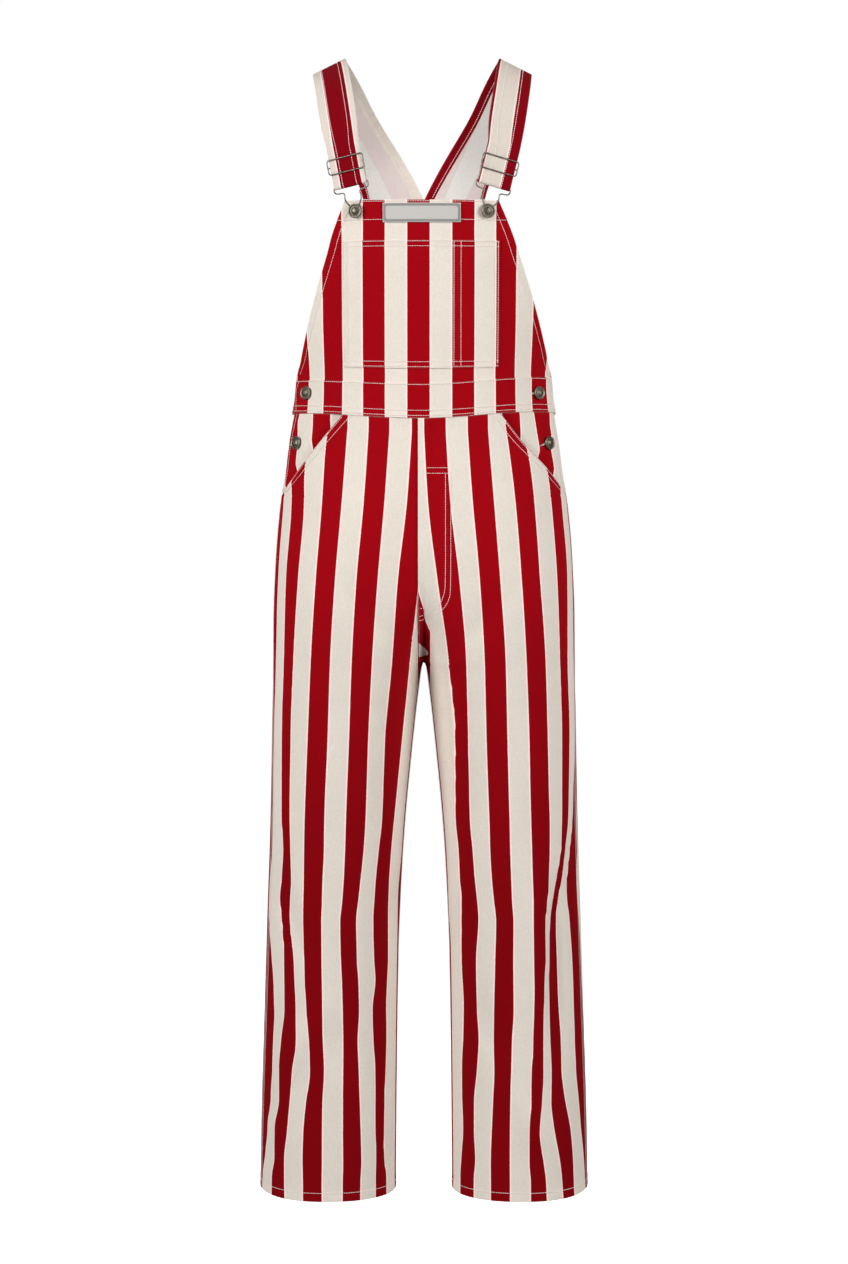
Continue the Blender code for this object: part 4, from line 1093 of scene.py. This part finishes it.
rows = spread(BIB_TOP, WAIST, 84)
bib = bib_grid(rows, bib_sides, 104)
hem = np.array([through(BIB_EDGE, "hem", height) for height in rows])[:, None]
bib.lift += np.maximum(hem_rise(bib.from_first, hem), hem_rise(bib.from_last, hem))
bib.lift += hem_rise(bib.from_top, BIB_TOP_HEM, 0.0006)
bib.lift[bib.level < BAND_TOP + 0.002] = 0.0
bib_cloth = panel_wall("bib_cloth", bib, bib_stripes(bib), BOTH_FACES)
declare(bib_cloth, ["bib"])
lines = []
for k in (0, 1):
    spots = []
    for height in rows[(rows < BIB_TOP - 0.001) & (rows > BAND_TOP + 0.001)]:
        way = bib_sides(height)[k]
        spots.append((way - np.sign(way) * (through(BIB_EDGE, "hem", height) - 0.001), height))
    lines.append(bib.on(spots))
for height in (BIB_TOP - 0.0016, BIB_TOP - BIB_TOP_HEM + 0.0010):
    lines.append(level_line(bib, height, bib_sides(height), 120))
threads = sewn("bib_stitches", lines)

rows = spread(POCKET_TOP, POCKET_FOOT, 52)
pocket = bib_grid(rows, lambda height: (POCKET_LEFT, POCKET_RIGHT), 70)
pocket.lift += OVER + hem_rise(pocket.from_top, 0.0068, 0.0004)
pocket_cloth = panel_wall("bib_pocket_cloth", pocket, bib_stripes(pocket), BOTH_FACES)
declare(pocket_cloth, ["bib_pocket"])
lines = []
for height in (POCKET_TOP - 0.0014, POCKET_TOP - 0.0072, POCKET_FOOT + 0.0018, POCKET_FOOT + 0.0074):
    lines.append(level_line(pocket, height, (POCKET_LEFT, POCKET_RIGHT), 100))
heights = np.linspace(POCKET_TOP - 0.0015, POCKET_FOOT + 0.0015, 50)
double = [POCKET_LEFT + 0.0016, POCKET_LEFT + 0.0074, POCKET_RIGHT - 0.0016, POCKET_RIGHT - 0.0074]
for way in (*double, *PENCIL_SLOT):
    lines.append(pocket.on([(way, height) for height in heights]))
threads = sewn("bib_pocket_stitches", lines)

# How much lower the band's top lies than a level one, by distance from the middle
BAND_TILT = [(-0.16, -0.0038), (0.0, -0.0050), (0.045, -0.0034), (0.10, -0.0009), (0.14, 0.0)]
rows = spread(BAND_TOP, WAIST, 32)
band = bib_grid(rows, bib_sides, 104)
band.lift += OVER
share = (band.level - WAIST) / (BAND_TOP - WAIST)
band.base[..., 2] += share**2 * np.interp(band.base[..., 0], *zip(*BAND_TILT))
# The pressed line down the middle
band.lift -= 0.0006 * np.exp(-(((band.ways + 0.0078) / 0.0012) ** 2))
band_cloth = panel_wall("waistband_cloth", band, bib_stripes(band), BOTH_FACES)
declare(band_cloth, ["waistband"])
lines = [level_line(band, WAIST + above, bib_sides(WAIST), 140) for above in (0.0028, 0.0094)]
lines.append(level_line(band, BAND_TOP - 0.0016, bib_sides(BAND_TOP), 140))
for k in (0, 1):
    spots = []
    for height in np.linspace(BAND_TOP - 0.001, WAIST + 0.001, 14):
        way = bib_sides(height)[k]
        inward = 0.0100 + 0.0055 * float(ease(height, WAIST, BAND_TOP))
        spots.append((way - np.sign(way) * inward, height))
    lines.append(band.on(spots))
threads = [sewn("waistband_stitches", lines)]
threads.append(sewn("upper_buttonhole", buttonhole(band, 0.1306, -0.4138, 0.0080, 0.0002), SATIN))

# ---------------------------------------------------------------------------------
# Label
# A woven grey label, bare, with a satin-stitched border, sewn over the bib's top hem.
# ---------------------------------------------------------------------------------

PATCH_TOP = -0.1846
PATCH_FOOT = -0.2076
PATCH_LEFT = -0.0498
PATCH_RIGHT = 0.0442
PATCH_CLOTH = 0.0012
# How far in from the label's edge the middle of its border runs
BORDER_IN = 0.0021
LABEL_GROUND = (0.620, 0.600, 0.560)
LABEL_BORDER = (0.215, 0.210, 0.198)


def label_material():
    made, tree, shader = new_material("woven_label", 0.72)
    cut = uv_map(tree, "cut")
    from_edge = parts_of(tree, uv_map(tree, "edge"))[0]
    beside = maths(tree, "ABSOLUTE", maths(tree, "SUBTRACT", from_edge, BORDER_IN))
    border = ranged(tree, beside, 0.0012, 0.0016, between="LINEAR")
    yarn = maths(tree, "SINE", maths(tree, "MULTIPLY", parts_of(tree, cut)[1], 2 * pi / 0.0007))
    fleck = noise(tree, cut, 1400.0, 2.0)
    ground = mixed(tree, fleck, (0.30, 0.29, 0.27, 1), (0.72, 0.70, 0.66, 1))
    ground = mixed(tree, 0.5, ground, (*LABEL_GROUND, 1))
    edging = mixed(tree, fleck, (*LABEL_BORDER, 1), (0.34, 0.33, 0.31, 1))
    tree.links.new(mixed(tree, border, ground, edging), shader.inputs["Base Color"])
    relief = maths(tree, "MULTIPLY_ADD", yarn, 0.00005, maths(tree, "MULTIPLY", border, 0.0003))
    raise_surface(tree, shader, maths(tree, "MULTIPLY_ADD", fleck, 0.0001, relief), 0.9, 1.0)
    return made


LABEL = label_material()
rows = spread(PATCH_TOP, PATCH_FOOT, 24)
patch = bib_grid(rows, lambda height: (PATCH_LEFT, PATCH_RIGHT), 44)
patch.lift += OVER + LAYER_GAP + 0.0003 * np.exp(-(((patch.from_edge - BORDER_IN) / 0.0010) ** 2))
patch_cloth = panel_wall("name_patch_cloth", patch, patch.ways, [LABEL, LABEL], PATCH_CLOTH)
declare(patch_cloth, ["name_patch"])

# ---------------------------------------------------------------------------------
# Back panel
# The upper back runs from the strap crossing to the back waist seam. Its armhole edges
# are turned in and sewn.
# ---------------------------------------------------------------------------------

STRAP_SEAM = -0.1600
# How far the middle of a red stripe lies to the left of the centre back
BACK_SHIFT = 0.0136
BackEdge = namedtuple("BackEdge", "height reach")
BACK_EDGE = [
    BackEdge(-0.4500, 0.2400),
    BackEdge(-0.4100, 0.2300),
    BackEdge(-0.3950, 0.2080),
    BackEdge(-0.3700, 0.1760),
    BackEdge(-0.3400, 0.1490),
    BackEdge(-0.3050, 0.1240),
    BackEdge(-0.2650, 0.1040),
    BackEdge(-0.2250, 0.0880),
    BackEdge(-0.1900, 0.0800),
    BackEdge(STRAP_SEAM, 0.0795),
]


class BackPanel(Panel):
    """A panel whose ways are measured from the centre back, + to the right."""

    def __init__(self, heights, reaches):
        around = np.array([full_way(height) for height in heights])[:, None]
        super().__init__(+1, heights, around - np.abs(reaches), folds=False)
        self.base[..., 0] *= np.where(reaches > 0, 1, -1)
        self.base[..., 2] = self.level
        self.ways = reaches
        self.measure(+1)


rows = spread(STRAP_SEAM, WAIST, 84)
reaches = []
for height in rows:
    width = full_way(height) - seam_way(height) - SEAM_GAP / 2
    reach = min(through(BACK_EDGE, "reach", height), width)
    reaches.append(spread(-reach, reach, 110))
back = BackPanel(rows, np.array(reaches))
back.lift += np.maximum(hem_rise(back.from_first, 0.010), hem_rise(back.from_last, 0.010))
back_cloth = panel_wall("back_panel_cloth", back, back.ways + BACK_SHIFT, BOTH_FACES)
declare(back_cloth, ["back_panel"])
lines = []
for distance in (0.0022, 0.0088):
    lines += [back.down_edge(distance, edge=edge) for edge in (0, -1)]
    lines.append(back.across_row(WAIST + distance))
threads = sewn("back_panel_stitches", lines)

# ---------------------------------------------------------------------------------
# Straps
# Each strap is cut with the stripes along it, from the crossing at the back, over the
# shoulder, down through the slide, round the hook's bar and up again to the slide's bar.
# Its edges are turned in and sewn.
# ---------------------------------------------------------------------------------

STRAP_CLOTH = 0.0018
HOOK_WIRE = 0.0017
SLIDE_WIRE = 0.0017
SLIDE_HEIGHT = 0.0245
BIB_BUTTON_HEIGHT = -0.1937
BUTTON_BELOW_BAR = 0.0328
FOLD = HOOK_WIRE / 2 + LAYER_GAP + STRAP_CLOTH / 2
WRAP = SLIDE_WIRE / 2 + LAYER_GAP + STRAP_CLOTH / 2
BAR_BACK = FOLD - WRAP - STRAP_CLOTH - LAYER_GAP
# Where each bib button is, and how far the strap's foot above it leans out
Foot = namedtuple("Foot", "button_reach lean")
FEET = {-1: Foot(0.0822, radians(11.5)), +1: Foot(0.0763, radians(14.5))}
STRAP_FOOT_WIDTH = 0.0415
# From the chest to the crossing: how far the strap's middle is from the centre on the left
# and on the right, where that is, the way its width runs (outward) and its width
Strap = namedtuple("Strap", "left right y z across_x across_y across_z width")
STRAP_PATH = [
    Strap(0.1032, 0.1004, -0.1060, -0.0860, 0.96, 0.20, -0.19, 0.0452),
    Strap(0.1100, 0.1070, -0.0850, -0.0440, 0.93, 0.15, -0.28, 0.0455),
    Strap(0.1155, 0.1115, -0.0500, -0.0160, 0.90, 0.05, -0.40, 0.0455),
    Strap(0.1180, 0.1140, -0.0060, -0.0075, 0.89, 0.00, -0.455, 0.0445),
    Strap(0.1145, 0.1105, 0.0350, -0.0130, 0.88, -0.05, -0.470, 0.0490),
    Strap(0.1028, 0.0995, 0.0660, -0.0340, 0.86, -0.12, -0.500, 0.0525),
    Strap(0.0830, 0.0812, 0.0880, -0.0720, 0.85, -0.13, -0.500, 0.0535),
    Strap(0.0622, 0.0618, 0.1010, -0.1130, 0.88, -0.11, -0.420, 0.0630),
    Strap(0.0484, 0.0484, 0.1045, -0.1400, 0.97, -0.09, -0.200, 0.0700),
    Strap(0.0398, 0.0398, 0.1068, STRAP_SEAM + SEAM_GAP, 1.00, -0.09, 0.000, 0.0785),
]


def unit(vector):
    return np.asarray(vector, float) / np.linalg.norm(vector)


def smooth_path(points, samples):
    """Points along a Catmull-Rom curve through the rows of an array."""
    points = np.asarray(points, float)
    padded = np.vstack([2 * points[0] - points[1], points, 2 * points[-1] - points[-2]])
    found = []
    for value in np.linspace(0, len(points) - 1, samples):
        k = min(int(value), len(points) - 2)
        t = value - k
        a, b, c, d = padded[k : k + 4]
        curve = (c - a) * t + (2 * a - 5 * b + 4 * c - d) * t**2 + (3 * b - a - 3 * c + d) * t**3
        found.append(b + 0.5 * curve)
    return np.array(found)


def on_form(reach, height, lift=0.0):
    """A point on the bib's form, and the level way out of it."""
    rows = [height + 0.001, height, height - 0.001]
    columns = np.add(front_way(reach, height), (-0.002, 0, 0.002))
    patch = Panel(+1, rows, [columns] * 3, folds=False)
    return patch.base[1, 1] + patch.normal[1, 1] * lift, patch.normal[1, 1]


class StrapFrame:
    """Where a strap's foot hangs: its hook bar, and the ways out, up and forward."""

    def __init__(self, side):
        self.side = side
        reach, lean = FEET[side]
        seat, forward = on_form(reach, BIB_BUTTON_HEIGHT)
        self.forward = unit(forward * (1, 1, 0))
        along = np.array([-self.forward[1], self.forward[0], 0])
        up = np.array([0, 0, 1.0])
        self.across = along * cos(lean) - up * sin(lean)
        self.up = along * sin(lean) + up * cos(lean)
        self.button_seat = seat
        lift = HOOK_WIRE / 2 + 2 * LAYER_GAP
        self.bar = seat + self.forward * lift + self.up * BUTTON_BELOW_BAR

    def at(self, out, rise, ahead):
        return self.mirror(self.bar + self.across * out + self.up * rise + self.forward * ahead)

    def mirror(self, point):
        return np.asarray(point) * (self.side, 1, 1)


# Where the middle of the red stripe runs, outward from the strap's own middle, at the
# chest and at the back, where the strap widens
StrapStripe = namedtuple("StrapStripe", "chest back")
STRAP_STRIPE = {-1: StrapStripe(-0.0019, -0.0109), +1: StrapStripe(0.0214, 0.0277)}
STRAP_STITCH = 0.0120
STRAP_COLUMNS = 24
# How wide the hems turned to the inside are, from the shoulder to the back
ArmHem = namedtuple("ArmHem", "neck armhole")
ARM_HEM = {-1: ArmHem(0.0110, 0.0090), +1: ArmHem(0.0110, 0.0062)}
OVER_STEPS = 121
OVER_ROWS = 112


def strap_rows(side):
    """The strap's middle, the way across it and its width, from its free end to the back."""
    hung = StrapFrame(side)
    spots = [(SLIDE_HEIGHT - 0.0050, BAR_BACK + WRAP)]
    for angle in np.radians(np.linspace(0, 180, 12)):
        spots.append((SLIDE_HEIGHT + WRAP * sin(angle), BAR_BACK + WRAP * cos(angle)))
    spots += [(SLIDE_HEIGHT - 0.006, BAR_BACK - WRAP), (SLIDE_HEIGHT - 0.014, -FOLD), (0.005, -FOLD)]
    for angle in np.radians(np.linspace(180, 360, 12)):
        spots.append((FOLD * sin(angle), FOLD * cos(angle)))
    spots += [(rise, FOLD) for rise in np.arange(0.005, 0.049, 0.0036)]
    foot = [hung.at(0, rise, ahead) for rise, ahead in spots]
    across = [hung.mirror(hung.across)] * len(foot)
    width = [STRAP_FOOT_WIDTH] * len(foot)
    rows = [[*foot[-1], *across[-1], width[-1]]]
    for r in STRAP_PATH:
        x = r.right if side > 0 else -r.left
        rows.append([x, r.y, r.z, side * r.across_x, r.across_y, r.across_z, r.width])
    over = smooth_path(rows, OVER_STEPS)[1:]
    middles = np.vstack([foot, over[:, :3]])
    acrosses = np.vstack([across, over[:, 3:6]])
    return middles, acrosses, np.concatenate([width, over[:, 6]])


for side, word in SIDES:
    middles, acrosses, widths = strap_rows(side)
    along = np.gradient(middles, axis=0)
    acrosses = acrosses / np.linalg.norm(acrosses, axis=1, keepdims=True)
    normals = -side * np.cross(along, acrosses)
    normals /= np.linalg.norm(normals, axis=1, keepdims=True)
    measure = np.concatenate([[0], np.cumsum(np.linalg.norm(np.diff(middles, axis=0), axis=1))])
    out = np.array([spread(-w / 2, w / 2, STRAP_COLUMNS) for w in widths])
    centre = middles[:, None] + acrosses[:, None] * out[..., None]
    beside = np.minimum(out - out[:, :1], out[:, -1:] - out)
    crown = -0.0002 * np.exp(-(((beside - STRAP_STITCH) / 0.0010) ** 2))
    crown -= 0.0003 * (1 - ease(beside, 0, 0.0012))
    past_foot = np.arange(len(measure)) >= len(measure) - OVER_ROWS
    hem = np.where(out < 0, ARM_HEM[side].neck, ARM_HEM[side].armhole)
    step = np.where(past_foot[:, None], 0.0006 * ease(beside, hem - 0.0006, hem + 0.0008), 0)
    outer_side = centre + normals[:, None] * (STRAP_CLOTH / 2 + crown)[..., None]
    inner_side = centre - normals[:, None] * (STRAP_CLOTH / 2 + crown - step)[..., None]
    stripe = STRAP_STRIPE[side]
    toward_back = ease(measure, measure[-1] * 0.55, measure[-1] * 0.95)
    shift = stripe.chest + (stripe.back - stripe.chest) * toward_back
    across_cut = out - shift[:, None]
    turned = (beside < hem) & past_foot[:, None]
    hem_cut = np.where(turned, np.where((out < 0) & (side < 0), STRIPE, 0.0), np.nan)
    cut = np.stack([across_cut, measure[:, None] + 0 * out], 2)
    edge = np.stack([beside, measure[:, None] + out], 2)
    # The strap's face is the darker copy of the twill, as painted shade
    finishes = [SHADED_STRAP_FACE, REVERSE]
    strap = closed_wall(f"strap_{word}_cloth", outer_side, inner_side, cut, edge, finishes, hem_cut)
    declare(strap, ["strap_" + word])
    lines = []
    for inward in (-1, +1):
        spine = middles + acrosses * (inward * (widths / 2 - STRAP_STITCH))[:, None]
        lines.append((spine + normals * (STRAP_CLOTH / 2 + 0.0001), normals))
        hem_width = ARM_HEM[side].neck if inward < 0 else ARM_HEM[side].armhole
        border = middles + acrosses * (inward * (widths / 2 - hem_width + 0.0019))[:, None]
        inside = border - normals * (STRAP_CLOTH / 2 + 0.0003)
        lines.append((inside[past_foot], -normals[past_foot]))
    threads = sewn(f"strap_{word}_stitches", lines)

# ---------------------------------------------------------------------------------
# Metal
# Nickel-plated steel gone dull: a bent wire slide and hook on each strap, and domed
# tack buttons with a plain rim and a ring of beads.
# ---------------------------------------------------------------------------------

SLIDE_HALF_WIDTH = 0.0230
SLIDE_HALF_DEPTH = 0.0088
BIB_BUTTON = 0.0176
SIDE_BUTTON = 0.0165


def metal_material(name, dark, light, roughness, grain=260.0):
    """Dull plated steel: lighter in rubbed patches and on its ridges, darker in its hollows."""
    made, tree, shader = new_material(name, roughness)
    spot = node(tree, "ShaderNodeTexCoord").outputs["Object"]
    patchy = noise(tree, spot, grain, 4.0)
    point = node(tree, "ShaderNodeNewGeometry").outputs["Pointiness"]
    # Lighter on convex ridges and darker in hollows, by the mesh's pointiness
    ridge = ranged(tree, point, 0.44, 0.56, 0.0, 1.0, "LINEAR")
    worn = ranged(tree, patchy, 0.38, 0.64, 0.0, 1.0, "LINEAR")
    share = maths(tree, "MULTIPLY_ADD", worn, 0.5, maths(tree, "MULTIPLY", ridge, 0.5))
    tree.links.new(mixed(tree, share, (*dark, 1), (*light, 1)), shader.inputs["Base Color"])
    rough = maths(tree, "MULTIPLY_ADD", patchy, 0.22, roughness - 0.10)
    tree.links.new(rough, shader.inputs["Roughness"])
    raise_surface(tree, shader, noise(tree, spot, 2400.0, 2.0), 0.25, 0.0002)
    shader.inputs["Metallic"].default_value = 1.0
    return made


WIRE_STEEL = metal_material("dull_wire_steel", (0.025, 0.022, 0.018), (0.26, 0.24, 0.21), 0.30)
BUTTON_STEEL = metal_material("dull_button_steel", (0.010, 0.009, 0.006), (0.30, 0.27, 0.21), 0.40, 700.0)


def round_wire(path, diameter, closed=True, sides=14):
    """A round wire along points, as one tube."""
    path = np.asarray(path)
    count = len(path)
    vertices = []
    normal = None
    for k in range(count):
        ahead = path[(k + 1) % count] if closed or k < count - 1 else path[k]
        behind = path[k - 1] if closed or k > 0 else path[k]
        way = unit(ahead - behind)
        if normal is None:
            normal = unit(np.cross(way, (0.03, 1.0, 0.02)))
        normal = unit(normal - way * np.dot(normal, way))
        binormal = np.cross(way, normal)
        for side in range(sides):
            angle = 2 * pi * side / sides
            vertices.append(path[k] + (normal * cos(angle) + binormal * sin(angle)) * diameter / 2)
    faces = []
    for k in range(count if closed else count - 1):
        for side in range(sides):
            a = k * sides + side
            b = k * sides + (side + 1) % sides
            c = ((k + 1) % count) * sides + (side + 1) % sides
            d = ((k + 1) % count) * sides + side
            faces.append((a, b, c, d))
    if not closed:
        faces.append(tuple(range(sides)))
        faces.append(tuple(range((count - 1) * sides, count * sides)))
    return vertices, faces


def metal_piece(name, parts, finish, node_name):
    """One object of several closed metal shapes."""
    vertices = []
    faces = []
    for part_vertices, part_faces in parts:
        start = len(vertices)
        vertices += [tuple(float(c) for c in v) for v in part_vertices]
        faces += [tuple(start + v for v in face) for face in part_faces]
    mesh = bpy.data.meshes.new(name)
    mesh.from_pydata(vertices, [], faces)
    mesh.materials.append(finish)
    facing_out(mesh)
    mesh.shade_smooth()
    mesh.set_sharp_from_angle(angle=radians(60))
    declare(placed(name, mesh), [node_name])


def rounded_loop(corners, radius, steps=8):
    corners = [np.asarray(c, float) for c in corners]
    found = []
    for k, corner in enumerate(corners):
        before = unit(corners[k - 1] - corner)
        after = unit(corners[(k + 1) % len(corners)] - corner)
        start = corner + before * radius
        end = corner + after * radius
        for share in np.linspace(0, 1, steps + 1):
            found.append((1 - share) ** 2 * start + 2 * share * (1 - share) * corner + share**2 * end)
    return found


# One half of the hook's outline below its bar, outward and up, from the end of the bar
HOOK_HALF = [
    (0.0212, 0.0000), (0.0222, -0.0024), (0.0216, -0.0055), (0.0190, -0.0076), (0.0118, -0.0086),
    (0.0100, -0.0108), (0.0104, -0.0150), (0.0099, -0.0190), (0.0074, -0.0235), (0.0046, -0.0272),
    (0.0038, -0.0302), (0.0038, -0.0334), (0.0024, -0.0359), (0.0000, -0.0367),
]

# A domed tack button, as shares of its radius: out from the middle and ahead of the
# underside of its head. Its face has a raised rim, a hollow ring and a low dome.
BUTTON_FACE = [
    (0.00, 0.475), (0.12, 0.470), (0.26, 0.450), (0.38, 0.405), (0.46, 0.350), (0.52, 0.320),
    (0.60, 0.315), (0.70, 0.310), (0.76, 0.325), (0.82, 0.360), (0.88, 0.370), (0.95, 0.330),
    (0.995, 0.230), (1.00, 0.150), (0.97, 0.060), (0.88, 0.015), (0.30, 0.000),
]
# The beads in the hollow ring and the leaves round the dome, in the same shares: how many,
# how far round the first is, how far out and ahead they sit, how long and wide each is
Beads = namedtuple("Beads", "count first reach ahead long wide")
BEADS = [Beads(18, 0.5, 0.66, 0.325, 0.075, 0.085), Beads(8, 0.0, 0.26, 0.445, 0.15, 0.055)]
SHANK_SHARE = 0.28


def button(name, node_name, seat, outward, diameter, stand, segments=36):
    """A tack button on its shank, with a ring of beads and small leaves round its dome."""
    radius = diameter / 2
    outward = unit(outward)
    right = unit(np.cross((0, 0, 1), outward))
    up = np.cross(outward, right)

    def spoke(turn):
        return right * cos(2 * pi * turn) + up * sin(2 * pi * turn)

    profile = [(reach, stand + ahead * radius) for reach, ahead in BUTTON_FACE]
    profile += [(SHANK_SHARE, 0.0), (0.0, 0.0)]
    vertices = []
    for reach, level in profile:
        for k in range(segments if reach else 1):
            vertices.append(seat + outward * level + spoke(k / segments) * reach * radius)
    faces = []
    rings = len(profile) - 2
    for k in range(segments):
        n = (k + 1) % segments
        faces.append((0, 1 + k, 1 + n))
        for ring in range(rings - 1):
            a = 1 + ring * segments
            b = a + segments
            faces.append((a + k, b + k, b + n, a + n))
        last = 1 + (rings - 1) * segments
        faces.append((last + k, last + segments, last + n))
    parts = [(vertices, faces)]
    for beads in BEADS:
        for k in range(beads.count):
            way = spoke((k + beads.first) / beads.count)
            centre = seat + outward * (stand + beads.ahead * radius) + way * beads.reach * radius
            parts.append(bead(centre, outward, way, beads.long * radius, beads.wide * radius))
    metal_piece(name, parts, BUTTON_STEEL, node_name)


def bead(centre, outward, spoke, long, wide):
    """A small raised bead, long along its spoke."""
    side = np.cross(outward, spoke)
    vertices = [centre + outward * wide * 0.9]
    for size, rise in ((0.6, 0.65), (1.0, 0.0), (0.6, -0.5)):
        for k in range(8):
            angle = 2 * pi * k / 8
            flat = spoke * cos(angle) * long + side * sin(angle) * wide
            vertices.append(centre + flat * size + outward * rise * wide)
    vertices.append(centre - outward * wide * 0.6)
    faces = []
    for k in range(8):
        n = (k + 1) % 8
        faces.append((0, 1 + k, 1 + n))
        faces.append((1 + k, 9 + k, 9 + n, 1 + n))
        faces.append((9 + k, 17 + k, 17 + n, 9 + n))
        faces.append((17 + k, 25, 17 + n))
    return vertices, faces


# The side buttons: how far each is from the middle on the left and the right, its height
# and how far it lies over the form's cloth. All turn a little to the front.
SideButton = namedtuple("SideButton", "level left right height lift")
SIDE_BUTTONS = [
    SideButton("upper", 0.1428, 0.1389, -0.4133, OVER + LAYER_GAP),
    SideButton("lower", 0.1568, 0.1534, -0.4742, LAYER_GAP),
]
SIDE_BUTTON_SHANK = 0.0020
SIDE_BUTTON_TURN = np.array([0, -0.30, 0])

for side, word in SIDES:
    foot = StrapFrame(side)
    ahead = FOLD + STRAP_CLOTH / 2 + SLIDE_WIRE / 2 + 2 * LAYER_GAP
    low = SLIDE_HEIGHT - SLIDE_HALF_DEPTH
    high = SLIDE_HEIGHT + SLIDE_HALF_DEPTH
    wide = SLIDE_HALF_WIDTH
    corners = [(-wide, low), (wide, low), (wide, high), (-wide, high)]
    ring = [foot.at(x, z, ahead) for x, z in rounded_loop(corners, 0.0035)]
    bend = [(-wide, ahead), (-wide, 0.0018), (-wide + 0.0014, BAR_BACK), (0.0, BAR_BACK)]
    bend += [(-x, z) for x, z in reversed(bend[:-1])]
    bar = [foot.at(x, SLIDE_HEIGHT, z) for x, z in bend]
    parts = [round_wire(ring, SLIDE_WIRE), round_wire(bar, SLIDE_WIRE * 0.96, closed=False)]
    metal_piece(f"slide_{word}_metal", parts, WIRE_STEEL, "slide_" + word)

    other_half = [(-x, z) for x, z in reversed(HOOK_HALF[:-1])]
    outline = HOOK_HALF + other_half + [(-0.012, 0.0), (0.0, 0.0), (0.012, 0.0)]
    outline = smooth_path(outline + outline[:1], 180)[:-1]
    path = [foot.at(x, z, 0.0) for x, z in outline]
    metal_piece(f"hook_{word}_metal", [round_wire(path, HOOK_WIRE)], WIRE_STEEL, "hook_" + word)

    name = "bib_button_" + word
    seat = foot.mirror(foot.button_seat + foot.forward * LAYER_GAP)
    button(name + "_metal", name, seat, foot.mirror(foot.forward), BIB_BUTTON, HOOK_WIRE + 3 * LAYER_GAP)
    for level, left, right, height, lift in SIDE_BUTTONS:
        seat, outward = on_form(left if side < 0 else right, height, lift)
        seat = foot.mirror(seat)
        outward = foot.mirror(unit(outward + SIDE_BUTTON_TURN))
        name = f"side_button_{level}_{word}"
        button(name + "_metal", name, seat, outward, SIDE_BUTTON, SIDE_BUTTON_SHANK)

# ---------------------------------------------------------------------------------
# Studio
# A long lens at chest height, a large soft light from the upper left, a fill from the
# right, one behind for the back, and a white floor and background.
# ---------------------------------------------------------------------------------

CAMERA_PLACE = (0.0, -3.2, -0.462)
CAMERA_PITCH = radians(-4.5)
LENS = 71.87

lens = bpy.data.cameras.new("camera")
lens.sensor_fit = "VERTICAL"
lens.sensor_height = 36
lens.lens = LENS
camera = placed("camera", lens)
camera.location = CAMERA_PLACE
camera.rotation_euler = (pi / 2 + CAMERA_PITCH, 0, 0)
bpy.context.scene.camera = camera
bpy.context.scene.view_settings.view_transform = "Standard"


def soft_light(name, place, target, size, power):
    light = bpy.data.lights.new(name, "AREA")
    light.shape = "RECTANGLE"
    light.size, light.size_y = size
    light.energy = power
    thing = placed(name, light)
    thing.location = place
    way = np.subtract(target, place)
    flat = np.hypot(way[0], way[1])
    thing.rotation_euler = (np.arctan2(flat, -way[2]), 0, np.arctan2(-way[0], way[1]))
    thing.visible_camera = False


soft_light("key", (-2.3, -1.9, 0.34), (0, 0, -0.55), (1.6, 1.6), 79)
soft_light("fill", (2.3, -1.9, 0.34), (0, 0, -0.55), (1.6, 1.6), 69)
soft_light("top", (0, 0.6, 1.6), (0, 0, -0.4), (1.6, 1.2), 6)
soft_light("rear", (0, 3.0, -0.1), (0, 0, -0.7), (1.8, 1.8), 120)

world = bpy.data.worlds.new("white_room")
world.use_nodes = True
bpy.context.scene.world = world
ambient = world.node_tree.nodes["Background"]
ambient.inputs["Color"].default_value = (1.0, 1.0, 1.0, 1)
ray = node(world.node_tree, "ShaderNodeLightPath").outputs["Is Camera Ray"]
level = ranged(world.node_tree, ray, 0.0, 1.0, 0.13, 1.0, "LINEAR")
world.node_tree.links.new(level, ambient.inputs["Strength"])

FLOOR_DROP = 0.45
FLOOR_REACH = 30.0
corners = [(-1, -1), (1, -1), (1, 1), (-1, 1)]
corners = [(FLOOR_REACH * x, FLOOR_REACH * y, HEM - FLOOR_DROP) for x, y in corners]
floor_mesh = bpy.data.meshes.new("floor")
floor_mesh.from_pydata(corners, [], [(0, 1, 2, 3)])
pale, tree, shader = new_material("pale_floor", 0.9)
shader.inputs["Base Color"].default_value = (0.30, 0.30, 0.30, 1)
shader.inputs["Emission Color"].default_value = (1, 1, 1, 1)
ray = node(tree, "ShaderNodeLightPath").outputs["Is Camera Ray"]
tree.links.new(ray, shader.inputs["Emission Strength"])
floor_mesh.materials.append(pale)
placed("floor", floor_mesh)

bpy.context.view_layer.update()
